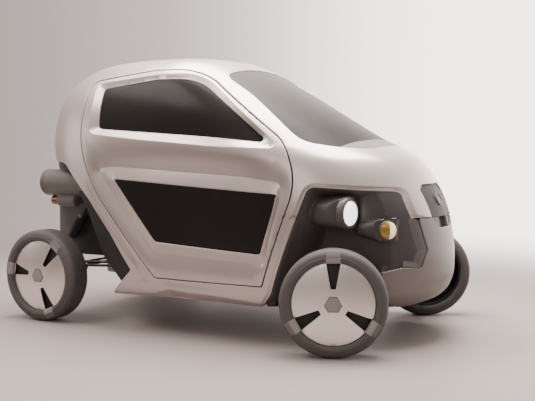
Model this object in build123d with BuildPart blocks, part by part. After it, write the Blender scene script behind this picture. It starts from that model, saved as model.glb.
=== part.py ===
from build123d import *
from math import sin, cos, radians
import os

os.makedirs("parts", exist_ok=True)

# ---------------------------------------------------------------------------
# Two-seat electric city car.  Millimetres, +X forward, +Y to the car's left,
# +Z up.  All the x values below are counted from midway between the axles, and
# each finished piece is set back by origin_x, so that the origin lies on the
# ground under the middle of the overall length.
# ---------------------------------------------------------------------------

origin_x = 56.0                 # middle of the overall length, from midway between the axles

# running gear
wheelbase = 1980.0
front_half_track = 668.0        # wheel centre to the car's middle plane
rear_half_track = 657.0
tyre_radius = 280.0
front_tyre_width = 145.0
rear_tyre_width = 168.0
tyre_shoulder = 26.0
rim_radius = 216.0              # outside of the rim, inside of the tyre
rim_wall = 12.0
disc_thickness = 10.0
disc_recess = 14.0              # disc face, in from the tyre's outer sidewall
slot_inner_radius = 79.0
slot_outer_radius = 203.0
slot_inner_width = 25.0
slot_outer_width = 66.0
hub_radius = 46.0
hub_length = 44.0
hub_bore_radius = 18.08
spindle_radius = 18.0
kingpin_radius = 13.0
arm_height = 118.0              # upper and lower arm, above and below the axle line
steer_rest = 23.8               # the front wheels are parked turned to the left

# body shell
wall = 42.0                     # thickness of the body's panels
glass_depth = 12.0              # outer face of the glass, below the body's skin
glass_thickness = 6.0
shut_gap = 7.0                  # gap round the doors and the tailgate
bumper_bottom = 200.0
hood_bottom = 697.0             # lower edge of the nose of the front clip

# cabin
floor_low, floor_high = 218.0, 250.0
seat_middle = 285.0             # seat centre to the car's middle plane
seat_width = 430.0

# lamps
head_y, head_z, head_radius = 500.0, 728.0, 88.0
amber_y, amber_z, amber_radius = 400.0, 635.0, 38.0
pod_y, pod_z, pod_radius = 500.0, 845.0, 85.0
tail_y, tail_z, tail_radius = 500.0, 730.0, 33.0

# thread for a towing eye, in the rear body
tow_y, tow_z, tow_thread_radius, tow_thread_depth = -200.0, 600.0, 8.0, 50.0

# level sections of the body, bottom to top
BODY_SECTIONS = [
    # (height, half_width, front_x, rear_x)
    (200, 635, 1215, -1030),
    (240, 654, 1300, -1040),
    (330, 678, 1368, -1059),
    (470, 693, 1382, -1079),
    (700, 702, 1347, -1100),
    (880, 704, 1265, -1117),
    (1010, 702, 1155, -1147),
    (1100, 695, 980, -1160),
    (1200, 678, 790, -1155),
    (1300, 650, 610, -1135),
    (1400, 607, 430, -1085),
    (1480, 556, 280, -1000),
    (1535, 498, 170, -910),
    (1580, 394, 60, -773),
    (1605, 240, -80, -580),
    (1617, 60, -240, -370),
]
widest_x = -300.0               # station of the greatest width
front_power, rear_power = 4.3, 3.2
front_side_power, rear_side_power = 1.75, 3.2
nose_round = 90.0
FRONT_STATIONS = [0.0, 0.40, 0.68, 0.84, 0.93, 0.98, 1.0]   # share of the way to the nose
REAR_STATIONS = [0.55, 0.82, 0.94, 0.985, 1.0]               # share of the way to the tail

# side view outlines: corners with their radii
DOOR = [
    # (x, z, corner_radius)
    (-142, 323, 30), (555, 323, 15), (793, 1000, 320), (70, 1515, 500),
    (-230, 1519, 400), (-690, 1462, 70), (-690, 963, 770),
]
UPPER_WINDOW = [
    # (x, z, corner_radius)
    (-545, 1184, 22), (572, 1113, 15), (72, 1463, 370), (-200, 1463, 400), (-557, 1413, 18),
]
LOWER_WINDOW = [
    # (x, z, corner_radius)
    (-125, 532, 45), (553, 498, 14), (657, 824, 18), (-408, 885, 8),
]
FRONT_ARCH = [
    # (x, z, corner_radius)
    (548, 100, 0), (548, 215, 0), (600, 280, 60), (762, 724, 0), (812, 868, 45), (1205, 842, 45),
    (1266, hood_bottom, 0), (1289, 690, 0), (1330, 525, 12), (1312, 428, 12), (1250, 484, 0),
    (1160, 418, 0), (1160, 100, 0),
]
REAR_CUT = [
    # (x, z, corner_radius)
    (-1500, 990, 0), (-1011, 985, 0), (-840, 972, 90), (-613, 760, 0), (-451, 568, 0),
    (-312, 358, 12), (-405, 271, 0), (-461, 218, 0), (-480, 100, 0), (-1500, 100, 0),
]
FRONT_CLIP = [
    # (x, z, corner_radius)
    (650, hood_bottom + 30, 0), (762, hood_bottom + 30, 0), (775, hood_bottom, 0), (1600, hood_bottom, 0),
    (1600, 1300, 0), (960, 1300, 0), (850, 1110, 0), (690, 985, 0), (650, 985, 0),
]
BUMPER = [
    # (x, z, corner_radius)
    (1160, bumper_bottom - 50, 0), (1160, 418, 0), (1250, 484, 0), (1312, 428, 12), (1330, 525, 12),
    (1289, 690, 0), (1600, 690, 0), (1600, bumper_bottom - 50, 0),
]
SEAT = [
    # (x, z, corner_radius)
    (235, 400, 20), (240, 508, 45), (-40, 478, 90), (-150, 640, 60), (-225, 1100, 0), (-232, 1452, 45),
    (-392, 1462, 45), (-395, 1300, 60), (-330, 700, 0), (-232, 420, 20),
]
DASHBOARD = [
    # (x, z, corner_radius)
    (560, 800, 20), (548, 905, 30), (610, 965, 30), (835, 975, 20), (862, 885, 15), (776, 872, 0), (752, 802, 10),
]

# plan view outlines: corners with their radii, the left half, mirrored to the right
SCREEN_OPENING = [
    # (x, y, corner_radius)
    (1030, 0, 0), (1000, 205, 100), (905, 400, 120), (735, 515, 110), (540, 478, 0), (190, 415, 30), (168, 330, 200), (163, 0, 0),
]
# end view outlines: corners with their radii, the left half
TAILGATE = [
    # (y, z, corner_radius)
    (0, 1004, 0), (470, 1004, 45), (505, 1180, 90), (405, 1474, 60), (0, 1474, 0),
]
REAR_WINDOW = [
    # (y, z, corner_radius)
    (0, 1135, 0), (375, 1135, 40), (365, 1240, 60), (310, 1425, 50), (0, 1425, 0),
]
NOSE_PANEL = [
    # (y, z, corner_radius)
    (0, 697, 0), (146, 697, 0), (162, 841, 0), (120, 872, 0), (0, 872, 0),
]


# ---------------------------------------------------------------------------
# shapes that several pieces are cut from
# ---------------------------------------------------------------------------

def ring(half_width, front_x, rear_x):
    """Corners of one level section, from the nose round the left side to the tail and back."""
    edge = nose_round / half_width
    left = []
    for stations, power, side_power, tip in ((FRONT_STATIONS, front_power, front_side_power, front_x),
                                             (REAR_STATIONS, rear_power, rear_side_power, rear_x)):
        k = edge ** side_power
        d = (1 + edge ** 2) ** (side_power / 2) - k
        for s in stations:
            share = ((1 - s ** power) * d + k) ** (2 / side_power) - edge ** 2
            y = half_width * max(share, 0.0) ** 0.5
            left.append((widest_x + s * (tip - widest_x), y))
    left.sort()
    return left + [(x, -y) for x, y in reversed(left[1:-1])]


def body_solid(inset):
    """The whole body's outer form, drawn in by inset on every side."""
    mid_x, mid_z, half_length, half_width, half_height = 110.0, 908.0, 1270.0, 704.0, 709.0
    sx, sy, sz = 1 - inset / half_length, 1 - inset / half_width, 1 - inset / half_height
    with BuildPart() as body:
        for height, half, front_x, rear_x in BODY_SECTIONS:
            with BuildSketch(Plane.XY.offset(mid_z + (height - mid_z) * sz)):
                with BuildLine():
                    Polyline(*[(mid_x + (x - mid_x) * sx, y * sy) for x, y in ring(half, front_x, rear_x)], close=True)
                make_face()
        loft(ruled=True)
    return body.part


def rounded(outline):
    """A closed line through corners that each have their own radius."""
    return FilletPolyline(*[(a, b) for a, b, r in outline], radius=[r for a, b, r in outline], close=True)


def side_prism(outline, y_from, y_to, grow=0.0):
    with BuildPart() as prism:
        with BuildSketch(Plane.XZ.offset(-y_from)):
            with BuildLine():
                rounded(outline)
            make_face()
            if grow:
                offset(amount=grow, kind=Kind.INTERSECTION)
        extrude(amount=y_from - y_to)
    return prism.part


def both_halves(half):
    """Corners of a symmetrical outline from its left half, whose ends lie on the middle line."""
    if half[0][0] == 0:       # (y, z): middle line is y = 0
        return half + [(-a, b, r) for a, b, r in reversed(half[1:-1])]
    return half + [(a, -b, r) for a, b, r in reversed(half[1:-1])]


def end_prism(half, x_from, x_to, grow=0.0):
    with BuildPart() as prism:
        with BuildSketch(Plane.YZ.offset(x_from)):
            with BuildLine():
                rounded(both_halves(half))
            make_face()
            if grow:
                offset(amount=grow, kind=Kind.INTERSECTION)
        extrude(amount=x_to - x_from)
    return prism.part


def plan_prism(corners, z_from, z_to):
    with BuildPart() as prism:
        with BuildSketch(Plane.XY.offset(z_from)):
            with BuildLine():
                rounded(corners)
            make_face()
        extrude(amount=z_to - z_from)
    return prism.part


def block(x0, x1, y0, y1, z0, z1):
    with BuildPart() as solid:
        with BuildSketch(Plane.XY.offset(z0)):
            with Locations(((x0 + x1) / 2, (y0 + y1) / 2)):
                Rectangle(x1 - x0, y1 - y0)
        extrude(amount=z1 - z0)
    return solid.part


def rod(start, end, radius):
    """A round bar between two points."""
    a, b = Vector(*start), Vector(*end)
    with BuildPart() as bar:
        with BuildSketch(Plane(origin=a, z_dir=(b - a).normalized())):
            Circle(radius)
        extrude(amount=(b - a).length)
    return bar.part


def finish(piece, name):
    placed = piece.part.moved(Location((-origin_x, 0, 0)))
    placed.label = name
    export_step(placed, "parts/" + name + ".step")


outer = body_solid(0)
inner = body_solid(wall)
glass_outer = body_solid(glass_depth)
glass_inner = body_solid(glass_depth + glass_thickness)

with BuildPart() as shell:
    add(outer)
    add(inner, mode=Mode.SUBTRACT)
    # open wheel arches, nose down to the bumper
    add(side_prism(FRONT_ARCH, -900, 900), mode=Mode.SUBTRACT)
    # open rear corner behind the slanting rear pillar
    add(side_prism(REAR_CUT, -900, 900), mode=Mode.SUBTRACT)
    # the floor is a separate plate
    add(block(-600, 1150, -590, 590, 150, 300), mode=Mode.SUBTRACT)

door_opening_right = side_prism(DOOR, -900, -330, grow=shut_gap)
door_opening_left = side_prism(DOOR, 330, 900, grow=shut_gap)
screen_opening = plan_prism(both_halves(SCREEN_OPENING), 950, 1700)
tailgate_opening = end_prism(TAILGATE, -1400, -650, grow=shut_gap)
clip_region = side_prism(FRONT_CLIP, -900, 900)
bumper_region = side_prism(BUMPER, -900, 900)
roof_region = plan_prism(both_halves([
    (165, 0, 0), (165, 340, 0), (120, 400, 0), (-500, 430, 60), (-1015, 330, 60), (-1020, 0, 0)]), 1300, 1700)

# ---------------------------------------------------------------------------
# body
# ---------------------------------------------------------------------------

with BuildPart() as frame_shell:      # everything of the shell that isn't front clip, bumper or tailgate
    add(shell.part)
    for cut in (door_opening_right, door_opening_left, screen_opening, tailgate_opening, clip_region):
        add(cut, mode=Mode.SUBTRACT)
    add(block(1100, 1500, -900, 900, 100, 720), mode=Mode.SUBTRACT)

with BuildPart() as roof_panel:
    add(frame_shell.part)
    add(roof_region, mode=Mode.INTERSECT)
finish(roof_panel, "roof_panel")

with BuildPart() as side_frame_right:
    add(frame_shell.part)
    add(roof_region, mode=Mode.SUBTRACT)
    add(block(-1500, 1500, -900, 0, 100, 1700), mode=Mode.INTERSECT)
finish(side_frame_right, "side_frame_right")

with BuildPart() as side_frame_left:
    add(mirror(side_frame_right.part, about=Plane.XZ, mode=Mode.PRIVATE))
finish(side_frame_left, "side_frame_left")

with BuildPart() as front_clip:
    add(shell.part)
    add(clip_region, mode=Mode.INTERSECT)
    for cut in (door_opening_right, door_opening_left, screen_opening):
        add(cut, mode=Mode.SUBTRACT)
    add(end_prism(NOSE_PANEL, 1000, 1500), mode=Mode.SUBTRACT)
finish(front_clip, "front_clip")

with BuildPart() as nose_panel:       # recessed six-sided panel in the nose
    add(body_solid(20))
    add(inner, mode=Mode.SUBTRACT)
    add(end_prism(NOSE_PANEL, 1100, 1500), mode=Mode.INTERSECT)
finish(nose_panel, "nose_panel")

with BuildPart() as front_bumper:
    add(outer)
    add(inner, mode=Mode.SUBTRACT)
    add(bumper_region, mode=Mode.INTERSECT)
finish(front_bumper, "front_bumper")

with BuildPart() as windscreen:
    add(glass_outer)
    add(glass_inner, mode=Mode.SUBTRACT)
    add(screen_opening, mode=Mode.INTERSECT)
    add(plan_prism([(938, 0, 0), (925, 190, 0), (900, 370, 0), (800, 700, 0), (1300, 700, 0), (1300, -700, 0),
                    (800, -700, 0), (900, -370, 0), (925, -190, 0)], 900, 1700), mode=Mode.SUBTRACT)
finish(windscreen, "windscreen")

with BuildPart() as cowl_plate:       # plate between the screen and the bonnet
    add(body_solid(6))
    add(body_solid(glass_depth + glass_thickness + 8), mode=Mode.SUBTRACT)
    add(screen_opening, mode=Mode.INTERSECT)
    add(plan_prism([(938, 0, 0), (925, 190, 0), (900, 370, 0), (860, 700, 0), (1300, 700, 0), (1300, -700, 0),
                    (860, -700, 0), (900, -370, 0), (925, -190, 0)], 900, 1700), mode=Mode.INTERSECT)
finish(cowl_plate, "cowl_plate")

# ---------------------------------------------------------------------------
# doors and tailgate
# ---------------------------------------------------------------------------

with BuildPart() as door_right:
    add(outer)
    add(inner, mode=Mode.SUBTRACT)
    add(side_prism(DOOR, -900, -330), mode=Mode.INTERSECT)
    add(side_prism(UPPER_WINDOW, -900, -330), mode=Mode.SUBTRACT)
    add(side_prism(LOWER_WINDOW, -900, -330), mode=Mode.SUBTRACT)
finish(door_right, "door_right")

with BuildPart() as door_glass_right:
    add(glass_outer)
    add(glass_inner, mode=Mode.SUBTRACT)
    add(side_prism(UPPER_WINDOW, -900, -330) + side_prism(LOWER_WINDOW, -900, -330), mode=Mode.INTERSECT)
finish(door_glass_right, "door_glass_right")

with BuildPart() as door_left:
    add(mirror(door_right.part, about=Plane.XZ, mode=Mode.PRIVATE))
finish(door_left, "door_left")

with BuildPart() as door_glass_left:
    add(mirror(door_glass_right.part, about=Plane.XZ, mode=Mode.PRIVATE))
finish(door_glass_left, "door_glass_left")

with BuildPart() as tailgate:
    add(outer)
    add(inner, mode=Mode.SUBTRACT)
    add(end_prism(TAILGATE, -1400, -650), mode=Mode.INTERSECT)
    add(end_prism(REAR_WINDOW, -1400, -650), mode=Mode.SUBTRACT)
finish(tailgate, "tailgate")

with BuildPart() as rear_window:
    add(glass_outer)
    add(glass_inner, mode=Mode.SUBTRACT)
    add(end_prism(REAR_WINDOW, -1400, -650), mode=Mode.INTERSECT)
finish(rear_window, "rear_window")

# ---------------------------------------------------------------------------
# structure under and inside the body
# ---------------------------------------------------------------------------

with BuildPart() as floor_pan:
    with BuildSketch(Plane.XY.offset(floor_low)):
        with BuildLine():
            Polyline((-455, -585), (600, -585), (600, 585), (-455, 585), close=True)
        make_face()
    extrude(amount=floor_high - floor_low)
finish(floor_pan, "floor_pan")

with BuildPart() as battery_pack:
    add(block(-190, 300, -480, 480, floor_high, 392))
finish(battery_pack, "battery_pack")

with BuildPart() as firewall:         # front wall of the cabin, behind the wheel arches
    add(side_prism([(560, 252, 0), (600, 252, 0), (770, 700, 0), (818, 862, 0), (785, 862, 0), (735, 700, 0)], -700, 700))
    add(body_solid(wall + 1), mode=Mode.INTERSECT)
finish(firewall, "firewall")

with BuildPart() as front_inner_body: # dark structure between the front wheels
    add(side_prism([(600, 218, 0), (600, 252, 0), (770, 700, 0), (818, 862, 30), (1200, 862, 0), (1300, 700, 0),
                    (1300, 470, 0), (1150, 410, 0), (1150, 218, 30)], -400, 400))
    add(plan_prism(both_halves([(1300, 0, 0), (1300, 200, 30), (1140, 400, 90), (560, 400, 0), (560, 0, 0)]), 100, 1000),
        mode=Mode.INTERSECT)
    add(body_solid(wall + 1), mode=Mode.INTERSECT)
finish(front_inner_body, "front_inner_body")

with BuildPart() as rear_bulkhead:    # slanting back wall of the cabin
    add(side_prism([(-316, 352, 0), (-405, 266, 0), (-456, 266, 0), (-600, 415, 30), (-735, 700, 0), (-915, 962, 0),
                    (-850, 962, 0), (-617, 752, 0), (-455, 560, 0)], -700, 700))
    add(plan_prism(both_halves([(-200, 0, 0), (-200, 596, 0), (-950, 560, 0), (-950, 0, 0)]), 100, 1100), mode=Mode.INTERSECT)
finish(rear_bulkhead, "rear_bulkhead")

with BuildPart() as rear_lower_body:  # dark body over the rear axle, with the towing eye's thread
    add(side_prism([(-604, 430, 0), (-738, 702, 0), (-915, 964, 0), (-1092, 964, 40), (-1092, 470, 50), (-860, 455, 60),
                    (-800, 430, 0)], -415, 415))
    add(rear_bulkhead.part, mode=Mode.SUBTRACT)
    with BuildSketch(Plane.YZ.offset(-1093)):
        with Locations((tow_y, tow_z)):
            Circle(tow_thread_radius)
    extrude(amount=tow_thread_depth + 1, mode=Mode.SUBTRACT)
finish(rear_lower_body, "rear_lower_body")

with BuildPart() as dashboard:
    add(side_prism(DASHBOARD, -500, 500))
finish(dashboard, "dashboard")

column_end = Vector(430, seat_middle, 930)
column_dir = Vector(cos(radians(24)), 0, -sin(radians(24)))
with BuildPart() as steering_column:
    with BuildSketch(Plane(origin=column_end + column_dir * 23, z_dir=column_dir)):
        Circle(26)
    extrude(amount=150)
    add(dashboard.part, mode=Mode.SUBTRACT)
finish(steering_column, "steering_column")

steering_rim, steering_grip = 165.0, 13.0
with BuildPart() as steering_wheel:
    with BuildSketch(Plane(origin=column_end, x_dir=(0, 1, 0), z_dir=column_dir.cross(Vector(0, 1, 0)))):
        with Locations((steering_rim, 0)):
            RegularPolygon(steering_grip, 10)
    revolve(axis=Axis(column_end, column_dir))
    with BuildSketch(Plane(origin=column_end, z_dir=column_dir)):
        Circle(42)
    extrude(amount=22)
    for spoke_angle in (0, 180, 270):
        reach = Vector(0, 1, 0) * cos(radians(spoke_angle)) + column_dir.cross(Vector(0, 1, 0)) * sin(radians(spoke_angle))
        add(rod(column_end + reach * 20 + column_dir * 10, column_end + reach * (steering_rim - 4), 9))
finish(steering_wheel, "steering_wheel")

seat_parts = {}
for name, side in (("seat_right", -1), ("seat_left", 1)):
    with BuildPart() as seat:
        add(side_prism(SEAT, side * seat_middle - seat_width / 2, side * seat_middle + seat_width / 2))
    finish(seat, name)
    seat_parts[name] = seat.part

# ---------------------------------------------------------------------------
# lamps
# ---------------------------------------------------------------------------

def along_x(x0, x1, y, z, radius):
    return rod((x0, y, z), (x1, y, z), radius)


with BuildPart() as headlight_pods:
    for side in (-1, 1):
        add(along_x(775, 1004, side * head_y, head_z, head_radius))
        add(block(780, 960, min(side * 395, side * 450), max(side * 395, side * 450), head_z - 50, head_z + 50))
        add(along_x(992, 1010, side * head_y, head_z, 67), mode=Mode.SUBTRACT)
    add(front_inner_body.part, mode=Mode.SUBTRACT)
    add(firewall.part, mode=Mode.SUBTRACT)
finish(headlight_pods, "headlight_pods")

with BuildPart() as headlight_lenses:
    for side in (-1, 1):
        add(along_x(992, 1019, side * head_y, head_z, 65))
finish(headlight_lenses, "headlight_lenses")

with BuildPart() as indicator_lamps:
    for side in (-1, 1):
        add(along_x(1080, 1180, side * amber_y, amber_z, amber_radius))
    add(front_inner_body.part, mode=Mode.SUBTRACT)
finish(indicator_lamps, "indicator_lamps")

with BuildPart() as rear_pods:
    for side in (-1, 1):
        add(along_x(-1175, -830, side * pod_y, pod_z, pod_radius))
        add(block(-1060, -880, min(side * 415, side * 450), max(side * 415, side * 450), pod_z - 45, pod_z + 45))
        add(along_x(-1072, -1010, side * tail_y, tail_z + 2, tail_radius + 5))
        add(block(-1056, -1015, side * tail_y - 12, side * tail_y + 12, tail_z, pod_z))
        add(along_x(-1090, -1058, side * tail_y, tail_z + 2, tail_radius + 0.5), mode=Mode.SUBTRACT)
    add(rear_lower_body.part, mode=Mode.SUBTRACT)
    add(rear_bulkhead.part, mode=Mode.SUBTRACT)
finish(rear_pods, "rear_pods")

with BuildPart() as rear_lamps:
    for side in (-1, 1):
        add(along_x(-1082, -1058, side * tail_y, tail_z + 2, tail_radius))
finish(rear_lamps, "rear_lamps")

# ---------------------------------------------------------------------------
# drive and suspension
# ---------------------------------------------------------------------------

front_x, rear_x = wheelbase / 2, -wheelbase / 2
axle_z = tyre_radius

with BuildPart() as drive_unit:
    add(block(rear_x - 110, rear_x + 150, -290, 290, 170, 425))
    fillet(drive_unit.edges().filter_by(Axis.Y), 40)
finish(drive_unit, "drive_unit")

with BuildPart() as drive_shafts:
    for side in (-1, 1):
        add(rod((rear_x, side * 290, axle_z), (rear_x, side * 486, axle_z), 15))
finish(drive_shafts, "drive_shafts")

with BuildPart() as rear_hub_carriers:
    for side in (-1, 1):
        add(block(rear_x - 45, rear_x + 45, min(side * 486, side * 546), max(side * 486, side * 546), axle_z - 80, axle_z + 80))
        add(rod((rear_x, side * 546, axle_z), (rear_x, side * (rear_half_track + 40), axle_z), spindle_radius))
finish(rear_hub_carriers, "rear_hub_carriers")

with BuildPart() as rear_suspension_arms:
    for side in (-1, 1):
        for z_in, z_out in ((300, 345), (262, 225)):
            add(rod((-520, side * 420, z_in), (rear_x + 48, side * 516, z_out), 12))
        add(rod((rear_x + 10, side * 300, 448), (rear_x, side * 510, axle_z + 90), 20))
    add(rear_bulkhead.part, mode=Mode.SUBTRACT)
    add(rear_hub_carriers.part, mode=Mode.SUBTRACT)
    add(drive_unit.part, mode=Mode.SUBTRACT)
    add(rear_lower_body.part, mode=Mode.SUBTRACT)
finish(rear_suspension_arms, "rear_suspension_arms")

with BuildPart() as front_suspension_arms:
    for side in (-1, 1):
        for z in (axle_z - arm_height, axle_z + arm_height):
            add(rod((front_x, side * front_half_track, z - 11), (front_x, side * front_half_track, z + 11), 18))
            for x_in in (front_x - 90, front_x + 90):
                add(rod((x_in, side * 398, z), (front_x, side * front_half_track, z), 9))
    add(front_inner_body.part, mode=Mode.SUBTRACT)
finish(front_suspension_arms, "front_suspension_arms")

# ---------------------------------------------------------------------------
# wheels and knuckles
# ---------------------------------------------------------------------------

WHEELS = [
    # (name, x, y, outward_side, steer_degrees, tyre_width, first_slot_degrees)
    ("front_right", front_x, -front_half_track, -1, steer_rest, front_tyre_width, 90),
    ("front_left", front_x, front_half_track, 1, steer_rest, front_tyre_width, 90),
    ("rear_right", rear_x, -rear_half_track, -1, 0.0, rear_tyre_width, 60),
    ("rear_left", rear_x, rear_half_track, 1, 0.0, rear_tyre_width, 60),
]

for name, x, y, side, steer, width, slot_angle in WHEELS:
    centre = Vector(x, y, axle_z)
    out = Vector(-side * sin(radians(steer)), side * cos(radians(steer)), 0)
    right = Vector(-side * cos(radians(steer)), -side * sin(radians(steer)), 0)   # to the right, seen from outside
    half = width / 2
    section = Plane(origin=centre, x_dir=out, z_dir=out.cross(Vector(0, 0, 1)))   # local x out along the axle, y up
    axle = Axis(centre, out)

    with BuildPart() as tyre:
        with BuildSketch(section):
            with BuildLine():
                FilletPolyline((-half + 18, rim_radius), (half - 18, rim_radius), (half, rim_radius + 26),
                               (half, tyre_radius), (-half, tyre_radius), (-half, rim_radius + 26),
                               radius=[4, 4, 10, tyre_shoulder, tyre_shoulder, 10], close=True)
            make_face()
        revolve(axis=axle)
    finish(tyre, "tyre_" + name)

    face = half - disc_recess
    with BuildPart() as wheel:
        with BuildSketch(section):
            with BuildLine():
                Polyline((-half + 20, rim_radius), (face, rim_radius), (face, hub_bore_radius),
                         (face - hub_length, hub_bore_radius), (face - hub_length, hub_radius), (face - disc_thickness, hub_radius),
                         (face - disc_thickness, rim_radius - rim_wall), (-half + 20, rim_radius - rim_wall), close=True)
            make_face()
        revolve(axis=axle)
        # three tapering slots
        with BuildSketch(Plane(origin=centre + out * (face + 5), x_dir=right, z_dir=out)):
            for k in range(3):
                a = radians(slot_angle + 120 * k)
                c, s = cos(a), sin(a)
                with BuildLine():
                    Polyline(*[(r * c - w * s, r * s + w * c) for r, w in (
                        (slot_inner_radius, -slot_inner_width / 2), (slot_outer_radius, -slot_outer_width / 2),
                        (slot_outer_radius, slot_outer_width / 2), (slot_inner_radius, slot_inner_width / 2))], close=True)
                make_face()
        extrude(amount=-disc_thickness - 10, mode=Mode.SUBTRACT)
        # hub cap closes the bore from outside
        with BuildSketch(Plane(origin=centre + out * (face - 4), x_dir=right, z_dir=out)):
            Circle(hub_radius)
        extrude(amount=10)
    finish(wheel, "wheel_" + name)

for name, x, y, side, steer, width, slot_angle in WHEELS[:2]:
    centre = Vector(x, y, axle_z)
    out = Vector(-side * sin(radians(steer)), side * cos(radians(steer)), 0)
    face = width / 2 - disc_recess
    with BuildPart() as knuckle:      # upright on the kingpin's line, with the wheel's spindle
        with BuildSketch(Plane.XY.offset(axle_z - arm_height + 12)):
            with Locations((x, y)):
                Circle(kingpin_radius)
        extrude(amount=2 * arm_height - 24)
        with BuildSketch(Plane(origin=centre - out * 24, z_dir=out)):
            Circle(spindle_radius)
        extrude(amount=face + 24 - 6)
    finish(knuckle, "knuckle_" + name)

print("done")
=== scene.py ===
import math
import random

import bmesh
import bpy
import numpy as np
from mathutils import Matrix, Vector
from mathutils.geometry import delaunay_2d_cdt


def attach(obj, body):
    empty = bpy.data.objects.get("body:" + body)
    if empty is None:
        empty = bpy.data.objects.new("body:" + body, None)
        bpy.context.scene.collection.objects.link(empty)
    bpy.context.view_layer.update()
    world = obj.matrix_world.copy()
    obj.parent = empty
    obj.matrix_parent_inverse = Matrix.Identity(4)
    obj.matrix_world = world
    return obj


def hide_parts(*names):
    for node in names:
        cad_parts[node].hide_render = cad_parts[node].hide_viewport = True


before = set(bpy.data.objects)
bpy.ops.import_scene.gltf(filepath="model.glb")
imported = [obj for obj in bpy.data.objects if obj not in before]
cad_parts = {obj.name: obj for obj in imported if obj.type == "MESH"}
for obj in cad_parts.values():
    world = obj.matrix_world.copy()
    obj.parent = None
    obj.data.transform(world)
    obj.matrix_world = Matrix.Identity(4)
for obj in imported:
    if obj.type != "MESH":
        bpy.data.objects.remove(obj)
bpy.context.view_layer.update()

# Everything below is laid out from midway between the axles (metres, +X
# forward, +Y left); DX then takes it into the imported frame.
DX = -0.056

# ---------------------------------------------------------------------------
# the body's master surface
# ---------------------------------------------------------------------------


def pchip(xs, ys):
    """Monotone cubic through the points."""
    xs, ys = np.array(xs, float), np.array(ys, float)
    h = np.diff(xs)
    d = np.diff(ys) / h
    m = np.zeros(len(xs))
    for i in range(1, len(xs) - 1):
        if d[i - 1] * d[i] > 0:
            w1, w2 = 2 * h[i] + h[i - 1], h[i] + 2 * h[i - 1]
            m[i] = (w1 + w2) / (w1 / d[i - 1] + w2 / d[i])

    def end(h0, h1, d0, d1):
        g = ((2 * h0 + h1) * d0 - h0 * d1) / (h0 + h1)
        if np.sign(g) != np.sign(d0):
            return 0.0
        if np.sign(d0) != np.sign(d1) and abs(g) > 3 * abs(d0):
            return 3 * d0
        return g

    m[0], m[-1] = end(h[0], h[1], d[0], d[1]), end(h[-1], h[-2], d[-1], d[-2])

    def f(x):
        x = np.clip(x, xs[0], xs[-1])
        i = np.clip(np.searchsorted(xs, x, side="right") - 1, 0, len(xs) - 2)
        t = (x - xs[i]) / h[i]
        return ((1 + 2 * t) * (1 - t) ** 2 * ys[i] + t * (1 - t) ** 2 * h[i] * m[i]
                + t * t * (3 - 2 * t) * ys[i + 1] + t * t * (t - 1) * h[i] * m[i + 1])

    return f


XM = -0.30                                 # station of the greatest width
half_width = pchip([.16, .20, .30, .45, .60, .85, 1.00, 1.10, 1.20, 1.30, 1.40, 1.48, 1.53, 1.565, 1.59, 1.605, 1.617],
                   [.600, .635, .672, .692, .700, .704, .702, .695, .678, .650, .607, .556, .505, .440, .350, .240, .0])
front_end = pchip([.16, .20, .24, .30, .385, .47, .58, .70, .79, .88, .945, 1.01, 1.07, 1.10, 1.15, 1.20, 1.30, 1.40, 1.48,
                   1.53, 1.57, 1.59, 1.605, 1.617],
                  [1.10, 1.215, 1.30, 1.355, 1.380, 1.382, 1.370, 1.347, 1.315, 1.265, 1.22, 1.155, 1.05, .98, .88, .79,
                   .61, .43, .280, .18, .09, .02, -.08, -.30])
rear_end = pchip([.16, .40, .70, .90, .98, 1.10, 1.20, 1.30, 1.40, 1.48, 1.53, 1.565, 1.59, 1.605, 1.617],
                 [-1.02, -1.07, -1.10, -1.12, -1.14, -1.160, -1.155, -1.135, -1.085, -1.00, -.92, -.83, -.72, -.58, -.30])
EPS = .09
FRONT_PQ, REAR_PQ = (4.3, 1.75), (3.2, 3.2)


def field(x, y, z):
    """Below 0 inside the body, 0 on its skin."""
    z = np.clip(z, .16, 1.6169)
    b = half_width(z) + 1e-6
    ahead = x > XM
    a = np.where(ahead, front_end(z) - XM, XM - rear_end(z)) + 1e-6
    p = np.where(ahead, FRONT_PQ[0], REAR_PQ[0])
    q = np.where(ahead, FRONT_PQ[1], REAR_PQ[1])
    k = EPS / b
    v = (np.sqrt((y / b) ** 2 + k ** 2) ** q - k ** q) / ((1 + k ** 2) ** (q / 2) - k ** q)
    return (np.abs(x - XM) / a) ** p + v - 1


def skin(angle, z):
    """Point of the skin in the direction angle (0 ahead, 180 degrees behind, right side positive) at height z."""
    c, s = np.cos(angle), np.sin(angle)
    lo, hi = np.zeros_like(c), np.full_like(c, 2.0)
    for _ in range(34):
        r = (lo + hi) / 2
        out = field(XM + r * c, r * s, z) > 0
        hi = np.where(out, r, hi)
        lo = np.where(out, lo, r)
    return np.stack([XM + r * c, -r * s, z], -1)


def gradient(P):
    e = 1e-4
    g = np.stack([field(P[:, 0] + e, P[:, 1], P[:, 2]) - field(P[:, 0] - e, P[:, 1], P[:, 2]),
                  field(P[:, 0], P[:, 1] + e, P[:, 2]) - field(P[:, 0], P[:, 1] - e, P[:, 2]),
                  field(P[:, 0], P[:, 1], P[:, 2] + e) - field(P[:, 0], P[:, 1], P[:, 2] - e)], -1)
    return g / (np.linalg.norm(g, axis=1, keepdims=True) + 1e-12)


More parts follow.
